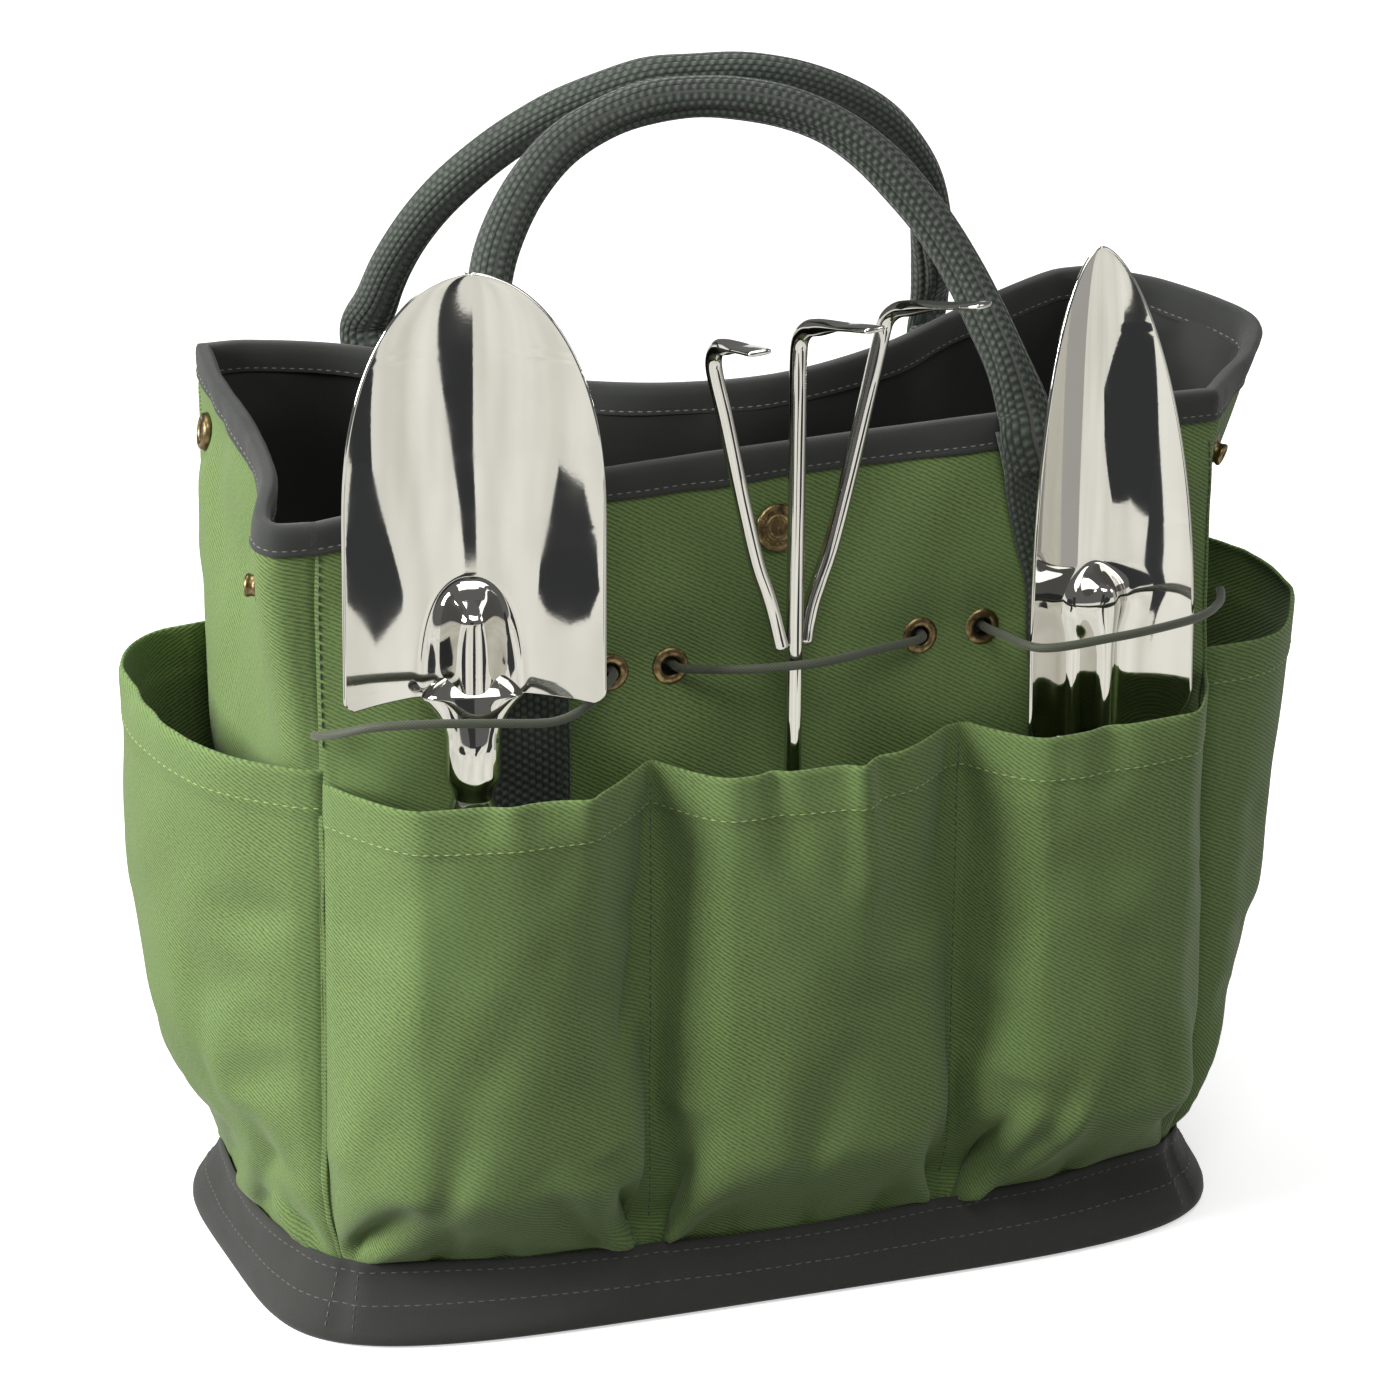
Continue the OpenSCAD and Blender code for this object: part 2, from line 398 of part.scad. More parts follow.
module trowel_shank() color(steel) placed(trowel_at, trowel_turn) tube(
  smooth_line([[0, 0, 128], [0, 0, 136], [0, 0, 146], [0, 1, 154], [0, 2.2, 158.6]], 3),
  [for (i = [0:12]) i < 4 ? 6 : i < 8 ? 6.2 : 7], [for (i = [0:12]) i < 6 ? 6 : 6 - (i - 6) * 0.3], [1, 0, 0], 16);
module trowel_ferrule() color(steel) placed(trowel_at, trowel_turn) ferrule(98, 30, 10, 6.4);
module trowel_handle() color(ash) placed(trowel_at, trowel_turn) wood(98);

// cultivator: a straight middle tine that is also the shank, and two side tines
module rod(P, k, r, claw) {
  L = smooth_line(P, k);
  n = len(L);
  tube(L, [for (i = [0:n-1]) r * (i > n - claw ? 1.35 - 0.4 * (i - n + claw) / claw : 1)], [for (i = [0:n-1]) r * (i > n - claw ? 0.75 - 0.45 * (i - n + claw) / claw : 1)], [1, 0, 0.01], 10);
}
module cultivator_shank() color(steel) placed(cult_at, cult_turn)
  rod([[0, 0, 126], [0, 0, 150], [0, 0, 180], [0, 0, 215], [0, 0, 250], [0, 0, 268], [0, -3, 274.5], [0, -10, 277.5], [0, -20, 280.5], [0, -30, 283], [0, -40, 285]], 3, 2.7, 10);
module side_tine(k) rod([[k*6.2, 1.5, 176], [k*7, 1.5, 183], [k*10, 1.2, 190], [k*14, 1, 200], [k*20, 0.5, 222], [k*27, 0, 250], [k*31.5, 0, 268], [k*32.5, -3, 274.5], [k*34, -10, 277.5], [k*36.5, -20, 280.5], [k*39, -30, 283], [k*41.5, -39, 285]], 3, 2.5, 10);
module cultivator_left_tine() color(steel) placed(cult_at, cult_turn) union() { side_tine(-1); }
module cultivator_right_tine() color(steel) placed(cult_at, cult_turn) union() { side_tine(1); }
module cultivator_ferrule() color(steel) placed(cult_at, cult_turn) ferrule(96, 30, 9.6, 3.6);
module cultivator_handle() color(ash) placed(cult_at, cult_turn) wood(96);

// transplanter: a long pointed blade
plant_len = 170;
function plant_hw(t) = 29.8 * (t < 0.3 ? 0.72 + 0.28 * sm(t / 0.12) : pow(max(0.0003, 1 - pow((t - 0.3) / 0.7, 2.1)), 0.72));
pt = [0, 0.04, 0.1, 0.17, 0.25, 0.35, 0.47, 0.58, 0.68, 0.77, 0.85, 0.915, 0.96, 0.985, 1];
module transplanter_blade() color(steel) placed(plant_at, plant_turn) translate([0, 8, 113])
  blade([for (t = pt) plant_len * t], [for (t = pt) plant_hw(t)], [for (t = pt) 14 * pow(plant_hw(t) / 29.8, 1.5) * (1 - 0.2 * t)],
        [for (t = pt) 11 * pow(max(0, 1 - pow(t / 0.42, 2)), 0.7)], 16, 1.3);
module transplanter_shank() color(steel) placed(plant_at, plant_turn) tube(
  smooth_line([[0, 0, 84], [0, 0, 92], [0, 0, 100], [0, 1, 107], [0, 2.2, 112.6]], 3),
  [for (i = [0:12]) 5.6], [for (i = [0:12]) i < 6 ? 5.6 : 5.6 - (i - 6) * 0.25], [1, 0, 0], 16);
module transplanter_ferrule() color(steel) placed(plant_at, plant_turn) ferrule(54, 30, 10, 6);
module transplanter_handle() color(ash) placed(plant_at, plant_turn) wood(54);

base_cover();
base_board();
front_panel();
back_panel();
left_side_panel();
right_side_panel();
lining();
rim_binding();
front_pocket_strip();
back_pocket_strip();
left_pocket();
right_pocket();
front_handle_straps();
back_handle_straps();
front_handle();
back_handle();
front_eyelets();
eyelet_washers();
elastic_cord();
closing_snap_cap();
closing_snap_stud();
closing_snap_socket();
closing_snap_back_cap();
gusset_snap_sockets();
gusset_snap_studs();
gusset_snap_posts();
trowel_blade();
trowel_shank();
trowel_ferrule();
trowel_handle();
cultivator_shank();
cultivator_left_tine();
cultivator_right_tine();
cultivator_ferrule();
cultivator_handle();
transplanter_blade();
transplanter_shank();
transplanter_ferrule();
transplanter_handle();
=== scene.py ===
# Garden tool bag: soft goods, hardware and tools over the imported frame. Metres in Blender, millimetres in the maths below.
import json
import math

import bmesh
import bpy
import numpy as np
from mathutils import Matrix, Vector
from mathutils.bvhtree import BVHTree

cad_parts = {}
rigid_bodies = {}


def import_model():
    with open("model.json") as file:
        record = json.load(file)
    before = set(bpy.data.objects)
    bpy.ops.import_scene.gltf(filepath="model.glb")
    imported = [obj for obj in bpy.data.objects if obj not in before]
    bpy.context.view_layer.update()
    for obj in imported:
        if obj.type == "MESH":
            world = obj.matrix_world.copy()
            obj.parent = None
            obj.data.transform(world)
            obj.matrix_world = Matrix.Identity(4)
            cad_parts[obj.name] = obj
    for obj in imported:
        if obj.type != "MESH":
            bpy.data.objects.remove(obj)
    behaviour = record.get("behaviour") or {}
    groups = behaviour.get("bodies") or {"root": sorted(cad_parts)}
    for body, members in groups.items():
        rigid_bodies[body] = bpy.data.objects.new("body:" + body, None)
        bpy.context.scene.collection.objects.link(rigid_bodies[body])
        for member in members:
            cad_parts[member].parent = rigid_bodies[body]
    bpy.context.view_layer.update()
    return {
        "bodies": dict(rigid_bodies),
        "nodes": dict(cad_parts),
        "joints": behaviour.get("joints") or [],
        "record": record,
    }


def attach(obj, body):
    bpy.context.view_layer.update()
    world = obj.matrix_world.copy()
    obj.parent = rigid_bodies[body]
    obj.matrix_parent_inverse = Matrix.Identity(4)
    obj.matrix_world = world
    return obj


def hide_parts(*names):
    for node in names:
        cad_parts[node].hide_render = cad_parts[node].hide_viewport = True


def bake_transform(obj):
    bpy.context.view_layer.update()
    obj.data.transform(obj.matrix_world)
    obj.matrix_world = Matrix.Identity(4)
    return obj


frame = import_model()


MM = 0.001
scene = bpy.context.scene
rng = np.random.default_rng(7)


# ------------------------------------------------------------------ camera
def make_camera():
    az, el, roll = math.radians(-20.31), math.radians(21.53), math.radians(0.53)
    back = Vector((math.sin(az) * math.cos(el), -math.cos(az) * math.cos(el), math.sin(el)))
    target = Vector((-0.0014, 0, 0.1766))
    fw = -back
    r = fw.cross(Vector((0, 0, 1))).normalized()
    u = r.cross(fw)
    r2 = r * math.cos(roll) + u * math.sin(roll)
    u2 = -r * math.sin(roll) + u * math.cos(roll)
    cam = bpy.data.cameras.new("camera")
    cam.lens = 190.44
    cam.sensor_width = 36
    cam.clip_end = 50
    o = bpy.data.objects.new("camera", cam)
    scene.collection.objects.link(o)
    m = Matrix((r2, u2, back)).transposed().to_4x4()
    m.translation = target + back * 2.4
    o.matrix_world = m
    scene.camera = o


make_camera()

# ------------------------------------------------------------------ small maths


def sm(t):
    t = np.clip(t, 0, 1)
    return t * t * (3 - 2 * t)


def gauss(t):
    return np.exp(-np.square(t))


def catmull(P, T, t):
    """Points P at parameters T, a cubic through them, sampled at t."""
    P = np.asarray(P, float)
    T = np.asarray(T, float)
    t = np.asarray(t, float)
    one = P.ndim == 1
    if one:
        P = P[:, None]
    d = np.zeros_like(P)
    d[1:-1] = (P[2:] - P[:-2]) / (T[2:] - T[:-2])[:, None]
    d[0] = (P[1] - P[0]) / (T[1] - T[0])
    d[-1] = (P[-1] - P[-2]) / (T[-1] - T[-2])
    i = np.clip(np.searchsorted(T, t, side="right") - 1, 0, len(T) - 2)
    h = T[i + 1] - T[i]
    x = ((t - T[i]) / h)[..., None]
    h = h[..., None]
    r = ((2 * x**3 - 3 * x**2 + 1) * P[i] + (x**3 - 2 * x**2 + x) * h * d[i]
         + (-2 * x**3 + 3 * x**2) * P[i + 1] + (x**3 - x**2) * h * d[i + 1])
    return r[..., 0] if one else r


def smooth_path(P, n):
    """n points evenly spaced along a smooth curve through P."""
    P = np.asarray(P, float)
    T = np.concatenate([[0], np.cumsum(np.linalg.norm(np.diff(P, axis=0), axis=1) ** 0.6)])
    D = catmull(P, T, np.linspace(0, T[-1], max(400, n * 6)))
    L = np.concatenate([[0], np.cumsum(np.linalg.norm(np.diff(D, axis=0), axis=1))])
    s = np.linspace(0, L[-1], n)
    return np.stack([np.interp(s, L, D[:, k]) for k in range(3)], 1), L[-1]


def blur(A, k=1, wrap=False, axes=(0, 1)):
    A = A.copy()
    for _ in range(k):
        for ax in axes:
            if wrap and ax == 1:
                A = 0.5 * A + 0.25 * (np.roll(A, 1, ax) + np.roll(A, -1, ax))
            else:
                B = np.moveaxis(A, ax, 0)
                C = B.copy()
                C[1:-1] = 0.5 * B[1:-1] + 0.25 * (B[2:] + B[:-2])
                A = np.moveaxis(C, 0, ax)
    return A


def bumps(shape, scale_i, scale_j, seed, wrap=False):
    """Smooth noise on a grid, about -1 to 1."""
    g = np.random.default_rng(seed)
    n, m = shape
    ci, cj = max(2, int(round(n / scale_i)) + 1), max(2, int(round(m / scale_j)) + 1)
    C = g.standard_normal((ci, cj))
    if wrap:
        C[:, -1] = C[:, 0]
    A = catmull(C, np.linspace(0, 1, ci), np.linspace(0, 1, n))
    A = catmull(A.T, np.linspace(0, 1, cj), np.linspace(0, 1, m)).T
    return A / 1.6


def grid_normals(P, wrap=False):
    du = np.gradient(P, axis=1)
    if wrap:
        du = (np.roll(P, -1, 1) - np.roll(P, 1, 1)) / 2
    dv = np.gradient(P, axis=0)
    n = np.cross(du, dv)
    return n / np.maximum(np.linalg.norm(n, axis=2, keepdims=True), 1e-9)


# ------------------------------------------------------------------ meshes
def to_mesh(name, V, F, mat, uv=None, smooth=True, body="bag", slot=None, replaces=(), link=True):
    me = bpy.data.meshes.new(name)
    me.from_pydata([tuple(v) for v in (np.asarray(V, float) * MM)], [], [tuple(int(i) for i in f) for f in F])
    if uv is not None:
        layer = me.uv_layers.new(name="UVMap")
        idx = np.zeros(len(me.loops), np.int32)
        me.loops.foreach_get("vertex_index", idx)
        layer.data.foreach_set("uv", (np.asarray(uv, float)[idx] * MM).astype(np.float32).ravel())
    me.validate()
    if smooth:
        me.polygons.foreach_set("use_smooth", np.ones(len(me.polygons), bool))
    if mat:
        me.materials.append(mat)
    o = bpy.data.objects.new(name, me)
    scene.collection.objects.link(o)
    if body:
        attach(o, body)
    if replaces:
        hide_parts(*replaces)
    return o


def grid_faces(n, m, base=0, wrap=False, flip=False):
    i, j = np.meshgrid(np.arange(n - 1), np.arange(m if wrap else m - 1), indexing="ij")
    j2 = (j + 1) % m
    F = np.stack([i * m + j, i * m + j2, (i + 1) * m + j2, (i + 1) * m + j], -1).reshape(-1, 4) + base
    return F[:, ::-1] if flip else F


def arc_uv(P):
    """Millimetres along and up a grid."""
    dj = np.linalg.norm(np.diff(P, axis=1), axis=2).mean(0)
    di = np.linalg.norm(np.diff(P, axis=0), axis=2).mean(1)
    u = np.concatenate([[0], np.cumsum(dj)])
    v = np.concatenate([[0], np.cumsum(di)])
    return np.stack(np.meshgrid(u, v, indexing="xy"), -1)


def shell(name, P, thick, mat, wrap=False, uv=None, close_rows=True, out=0.0, **kw):
    """A closed cloth piece from a grid of outer points. Rows go up, columns go so that the normal points out."""
    n, m = P.shape[:2]
    N = grid_normals(P, wrap)
    if uv is None:
        uv = arc_uv(np.concatenate([P, P[:, :1]], 1))[:, :m] if wrap else arc_uv(P)
    t = thick
    A = P + N * out
    B = P - N * (t - out)
    V = [A.reshape(-1, 3), B.reshape(-1, 3)]
    U = [uv.reshape(-1, 2), uv.reshape(-1, 2)]
    F = [grid_faces(n, m, 0, wrap), grid_faces(n, m, n * m, wrap, True)]

    def edge(ia, ib, push, ring):
        """Round an edge: one line of points half way between, pushed out."""
        base = sum(len(v) for v in V)
        mid = (A.reshape(-1, 3)[ia] + B.reshape(-1, 3)[ia]) / 2 + push * t * 0.42
        V.append(mid)
        U.append(uv.reshape(-1, 2)[ia])
        k = len(ia)
        q = n * m
        for a in range(k if ring else k - 1):
            b = (a + 1) % k
            F.append(np.array([[ia[a], base + a, base + b, ia[b]], [base + a, q + ia[a], q + ia[b], base + b]]))

    def away(row, inner):
        d = row - inner
        return d / np.maximum(np.linalg.norm(d, axis=1, keepdims=True), 1e-9)

    top = [(n - 1) * m + j for j in range(m)]
    bot = [j for j in range(m)]
    edge(np.array(top[::-1]), None, away(A[-1], A[-2])[::-1], wrap)
    edge(np.array(bot), None, away(A[0], A[1]), wrap)
    if not wrap:
        left = [i * m for i in range(n)]
        right = [i * m + m - 1 for i in range(n)]
        edge(np.array(left[::-1]), None, away(A[:, 0], A[:, 1])[::-1], False)
        edge(np.array(right), None, away(A[:, -1], A[:, -2]), False)
        # the four corners' small triangles
        base = 2 * n * m
        tb, bb, lb, rb = base, base + m, base + 2 * m, base + 2 * m + n
        q = n * m
        F2 = [[top[0], lb + 0, tb + m - 1], [tb + m - 1, lb + 0, q + top[0]],
              [top[-1], tb + 0, rb + n - 1], [tb + 0, q + top[-1], rb + n - 1],
              [bot[0], bb + 0, lb + n - 1], [bb + 0, q + bot[0], lb + n - 1],
              [bot[-1], rb + 0, bb + m - 1], [rb + 0, q + bot[-1], bb + m - 1]]
        F = [np.asarray(f) for f in F]
        faces = [tuple(r) for f in F for r in f] + [tuple(f) for f in F2]
    else:
        faces = [tuple(r) for f in F for r in np.asarray(f)]
    return to_mesh(name, np.concatenate(V), faces, mat, np.concatenate(U), **kw)


def tube_mesh(L, wide, thick, side_dir, sides=24, sq=2.0, cap=True, cap_round=0.35):
    """Vertices, faces and uv of a tube along L. wide and thick are half sizes; side_dir gives the wide way."""
    L = np.asarray(L, float)
    n = len(L)
    wide = np.broadcast_to(np.asarray(wide, float), (n,))
    thick = np.broadcast_to(np.asarray(thick, float), (n,))
    sq = np.broadcast_to(np.asarray(sq, float), (n,))
    D = np.broadcast_to(np.asarray(side_dir, float), (n, 3))
    T = np.gradient(L, axis=0)
    T /= np.linalg.norm(T, axis=1, keepdims=True)
    U = D - T * (D * T).sum(1, keepdims=True)
    U /= np.linalg.norm(U, axis=1, keepdims=True)
    W = np.cross(T, U)
    a = np.linspace(0, 2 * np.pi, sides, endpoint=False)
    c, s = np.cos(a), np.sin(a)
    V = []
    for i in range(n):
        x = wide[i] * np.sign(c) * np.abs(c) ** (2 / sq[i])
        y = thick[i] * np.sign(s) * np.abs(s) ** (2 / sq[i])
        V.append(L[i] + U[i] * x[:, None] + W[i] * y[:, None])
    V = np.array(V)
    ln = np.concatenate([[0], np.cumsum(np.linalg.norm(np.diff(L, axis=0), axis=1))])
    per = a / (2 * np.pi) * 2 * np.pi * float(np.mean((wide + thick) / 2))
    uv = np.stack(np.broadcast_arrays(per[None, :], ln[:, None]), -1)
    F = [tuple(r) for r in grid_faces(n, sides, 0, True)]
    V = V.reshape(-1, 3)
    uv = uv.reshape(-1, 2)
    if cap:
        for end in (0, n - 1):
            k = len(V)
            t = T[end] * (-1 if end == 0 else 1)
            r = min(wide[end], thick[end]) * cap_round
            inner = (V[end * sides:(end + 1) * sides] - L[end]) * 0.72 + L[end] + t * r * 0.8
            V = np.concatenate([V, inner, [L[end] + t * r]])
            uv = np.concatenate([uv, uv[end * sides:(end + 1) * sides], uv[end * sides:end * sides + 1]])
            for j in range(sides):
                j2 = (j + 1) % sides
                a0, b0 = end * sides + j, end * sides + j2
                f1 = (a0, b0, k + j2, k + j)
                f2 = (k + j, k + j2, k + sides)
                if end == 0:
                    f1, f2 = f1[::-1], f2[::-1]
                F += [f1, f2]
    return V, F, uv


def join(parts):
    """Join (V, F, uv) triples."""
    V, F, U, k = [], [], [], 0
    for v, f, u in parts:
        V.append(np.asarray(v, float))
        U.append(np.asarray(u, float))
        F += [tuple(int(i) + k for i in q) for q in f]
        k += len(v)
    return np.concatenate(V), F, np.concatenate(U)


def lathe(profile, segs=48, at=(0, 0, 0), axis=(0, 0, 1)):
    """A turned solid. profile is (radius, height) points, from axis to axis or a closed ring section."""
    pr = np.asarray(profile, float)
    ring = pr[0, 0] > 1e-6
    z = Vector(axis).normalized()
    q = z.to_track_quat("Z", "Y").to_matrix()
    a = np.linspace(0, 2 * np.pi, segs, endpoint=False)
    V, F = [], []
    for r, h in pr:
        V.append(np.stack([r * np.cos(a), r * np.sin(a), np.full(segs, h)], 1))
    k = len(pr)
    for i in range(k if ring else k - 1):
        i2 = (i + 1) % k
        for j in range(segs):
            j2 = (j + 1) % segs
            F.append((i * segs + j, i * segs + j2, i2 * segs + j2, i2 * segs + j))
    V = np.concatenate(V)
    V = V @ np.array(q).T + np.asarray(at, float)
    uv = np.stack([V[:, 0], V[:, 2]], 1)
    return V, F, uv


def round_profile(P, r=0.25, k=3):
    """Round the corners of a closed or open profile by corner cutting."""
    P = np.asarray(P, float)
    for _ in range(k):
        Q = []
        n = len(P)
        for i in range(n):
            a, b = P[i], P[(i + 1) % n]
            Q += [a * (1 - r) + b * r, a * r + b * (1 - r)]
        P = np.array(Q)
    return P


def stitches(name, P, N, mat, space=3.1, length=2.1, dia=0.5, lift=0.12, body="bag", slot="canvas", start=0.0):
    """A row of thread stitches along P, lying on a surface with normals N."""
    P, N = np.asarray(P, float), np.asarray(N, float)
    L = np.concatenate([[0], np.cumsum(np.linalg.norm(np.diff(P, axis=0), axis=1))])
    parts = []
    c = np.arange(space / 2 + start, L[-1] - space / 2, space)
    sides = 6
    prof = [(-0.5, 0.1), (-0.44, 0.7), (-0.2, 1.0), (0.2, 1.0), (0.44, 0.7), (0.5, 0.1)]
    a = np.linspace(0, 2 * np.pi, sides, endpoint=False)
    for x in c:
        p = np.array([np.interp(x, L, P[:, k]) for k in range(3)])
        q = np.array([np.interp(x + 0.5, L, P[:, k]) for k in range(3)])
        nn = np.array([np.interp(x, L, N[:, k]) for k in range(3)])
        t = q - p
        if np.linalg.norm(t) < 1e-6:
            continue
        t /= np.linalg.norm(t)
        nn = nn - t * (nn @ t)
        nn /= np.linalg.norm(nn)
        b = np.cross(nn, t)
        V = []
        for h, r in prof:
            dip = -0.28 * (abs(h) * 2) ** 2
            for ang in a:
                V.append(p + t * h * length + nn * (lift + dip + r * dia / 2 * math.sin(ang)) + b * r * dia / 2 * math.cos(ang))
        F = [tuple(r) for r in grid_faces(len(prof), sides, 0, True)]
        F.append(tuple(range(sides))[::-1])
        F.append(tuple((len(prof) - 1) * sides + k for k in range(sides)))
        V = np.array(V)
        parts.append((V, F, V[:, :2]))
    if not parts:
        return None
    V, F, U = join(parts)
    return to_mesh(name, V, F, mat, U, body=body, slot=slot)


# ------------------------------------------------------------------ materials
def lin(r, g, b, k=1.0):
    def f(c):
        c = c / 255
        return (c / 12.92 if c <= 0.04045 else ((c + 0.055) / 1.055) ** 2.4) * k
    return (f(r), f(g), f(b), 1.0)


class Graph:
    """A short way to write shader nodes."""

    def __init__(self, name):
        self.mat = bpy.data.materials.new(name)
        self.mat.use_nodes = True
        self.nt = self.mat.node_tree
        self.nt.nodes.clear()
        out = self.nt.nodes.new("ShaderNodeOutputMaterial")
        self.b = self.nt.nodes.new("ShaderNodeBsdfPrincipled")
        self.nt.links.new(self.b.outputs[0], out.inputs[0])

    def put(self, sock, v):
        if isinstance(v, bpy.types.NodeSocket):
            self.nt.links.new(v, sock)
        else:
            sock.default_value = v

    def math(self, op, a, b=0.0, c=0.0, clamp=False):
        n = self.nt.nodes.new("ShaderNodeMath")
        n.operation = op
        n.use_clamp = clamp
        for s, v in zip(n.inputs, (a, b, c)):
            self.put(s, v)
        return n.outputs[0]

    def mix(self, f, a, b, mode="MIX"):
        n = self.nt.nodes.new("ShaderNodeMix")
        n.data_type = "RGBA"
        n.blend_type = mode
        self.put(n.inputs[0], f)
        self.put(n.inputs[6], a)
        self.put(n.inputs[7], b)
        return n.outputs[2]

    def range(self, v, a, b, c, d):
        n = self.nt.nodes.new("ShaderNodeMapRange")
        n.clamp = True
        for s, x in zip(n.inputs, (v, a, b, c, d)):
            self.put(s, x)
        return n.outputs[0]

    def vec(self, x, y, z=0.0):
        n = self.nt.nodes.new("ShaderNodeCombineXYZ")
        for s, v in zip(n.inputs, (x, y, z)):
            self.put(s, v)
        return n.outputs[0]

    def uv(self):
        n = self.nt.nodes.new("ShaderNodeUVMap")
        n.uv_map = "UVMap"
        s = self.nt.nodes.new("ShaderNodeSeparateXYZ")
        self.nt.links.new(n.outputs[0], s.inputs[0])
        return self.math("MULTIPLY", s.outputs[0], 1000), self.math("MULTIPLY", s.outputs[1], 1000)

    def obj(self):
        n = self.nt.nodes.new("ShaderNodeTexCoord")
        return n.outputs["Object"]

    def noise(self, vec, scale, detail=3.0, rough=0.5):
        n = self.nt.nodes.new("ShaderNodeTexNoise")
        self.put(n.inputs["Vector"], vec)
        n.inputs["Scale"].default_value = scale
        n.inputs["Detail"].default_value = detail
        n.inputs["Roughness"].default_value = rough
        return n.outputs[0]

    def wave(self, phase, power=1.0):
        """0 to 1 once per unit of phase."""
        s = self.math("SINE", self.math("MULTIPLY", phase, 2 * math.pi))
        s = self.math("MULTIPLY_ADD", s, 0.5, 0.5)
        return self.math("POWER", s, power) if power != 1 else s

    def bump(self, h, dist, strength=1.0, normal=None):
        n = self.nt.nodes.new("ShaderNodeBump")
        n.inputs["Strength"].default_value = strength
        n.inputs["Distance"].default_value = dist
        self.put(n.inputs["Height"], h)
        if normal is not None:
            self.put(n.inputs["Normal"], normal)
        return n.outputs[0]

    def set(self, **kw):
        for k, v in kw.items():
            self.put(self.b.inputs[k.replace("_", " ")], v)
        return self.mat


def twill(name, light, dark, pitch=1.25, angle=31, rough=0.82, depth=0.00010, sheen=0.12, tint=0.10):
    g = Graph(name)
    u, v = g.uv()
    a = math.radians(angle)
    p = g.math("ADD", g.math("MULTIPLY", u, math.sin(a) / pitch), g.math("MULTIPLY", v, math.cos(a) / pitch))
    q = g.math("SUBTRACT", g.math("MULTIPLY", u, math.cos(a) / 0.62), g.math("MULTIPLY", v, math.sin(a) / 0.62))
    wob = g.noise(g.vec(u, v), 0.35, 2)
    p = g.math("ADD", p, g.math("MULTIPLY", wob, 0.5))
    rib = g.wave(p)
    yarn = g.wave(q)
    h = g.math("ADD", g.math("MULTIPLY", rib, 0.72), g.math("MULTIPLY", g.math("MULTIPLY", yarn, rib), 0.28))
    fleck = g.noise(g.vec(g.math("MULTIPLY", u, 0.6), g.math("MULTIPLY", v, 1.6)), 1.1, 2)
    big = g.noise(g.obj(), 22, 4)
    base = g.mix(g.math("MULTIPLY_ADD", h, 0.75, 0.18, clamp=True), dark, light)
    base = g.mix(g.range(fleck, 0.35, 0.7, 0.0, 0.36), base, (light[0] * 1.5, light[1] * 1.28, light[2] * 0.9, 1.0))
    base = g.mix(g.range(big, 0.3, 0.7, 0.0, tint * 2.2), base, tuple(c * 0.72 for c in light[:3]) + (1.0,))
    fuzz = g.noise(g.vec(u, v), 2.6, 3)
    n = g.bump(g.math("ADD", h, g.math("MULTIPLY", fuzz, 0.35)), depth, 1.0)
    return g.set(Base_Color=base, Roughness=g.range(big, 0.2, 0.8, rough - 0.06, rough + 0.05), Normal=n,
                 Sheen_Weight=sheen, Sheen_Roughness=0.45, Specular_IOR_Level=0.28)


def plain_weave(name, light, dark, pitch=0.75, rough=0.8, depth=0.00006, sheen=0.15):
    g = Graph(name)
    u, v = g.uv()
    a = g.wave(g.math("DIVIDE", u, pitch))
    b = g.wave(g.math("DIVIDE", v, pitch))
    h = g.math("ABSOLUTE", g.math("SUBTRACT", a, b))
    big = g.noise(g.obj(), 26, 4)
    fuzz = g.noise(g.vec(u, v), 1.7, 3)
    base = g.mix(g.math("MULTIPLY_ADD", h, 0.6, 0.2, clamp=True), dark, light)
    base = g.mix(g.range(big, 0.35, 0.7, 0.0, 0.28), base, tuple(c * 1.3 for c in light[:3]) + (1.0,))
    n = g.bump(g.math("ADD", h, g.math("MULTIPLY", fuzz, 0.5)), depth, 1.0)
    return g.set(Base_Color=base, Roughness=g.range(big, 0.2, 0.8, rough - 0.07, rough + 0.05), Normal=n,
                 Sheen_Weight=sheen, Sheen_Roughness=0.5, Specular_IOR_Level=0.3)


def webbing_mat():
    g = Graph("webbing")
    u, v = g.uv()
    row = g.math("DIVIDE", u, 2.1)
    cell = g.math("FLOOR", row)
    across = g.math("ABSOLUTE", g.math("SINE", g.math("MULTIPLY", row, math.pi)))
    lag = g.math("MULTIPLY", g.math("MODULO", g.math("ABSOLUTE", cell), 2.0), 0.5)
    along = g.wave(g.math("ADD", g.math("DIVIDE", v, 2.9), lag))
    h = g.math("MULTIPLY", g.math("POWER", across, 0.6), g.math("MULTIPLY_ADD", along, 0.75, 0.25))
    fine = g.noise(g.vec(g.math("MULTIPLY", u, 1.2), g.math("MULTIPLY", v, 3.0)), 1.0, 3)
    big = g.noise(g.obj(), 40, 3)
    base = g.mix(g.range(h, 0.15, 0.85, 0, 1), lin(7, 9, 7), lin(54, 64, 53))
    base = g.mix(g.range(fine, 0.35, 0.75, 0, 0.35), base, lin(78, 90, 74))
    base = g.mix(g.range(big, 0.4, 0.7, 0, 0.3), base, lin(30, 37, 30))
    n = g.bump(g.math("ADD", h, g.math("MULTIPLY", fine, 0.25)), 0.0006, 1.0)
    return g.set(Base_Color=base, Roughness=g.range(h, 0, 1, 0.9, 0.62), Normal=n, Sheen_Weight=0.2, Sheen_Roughness=0.4)


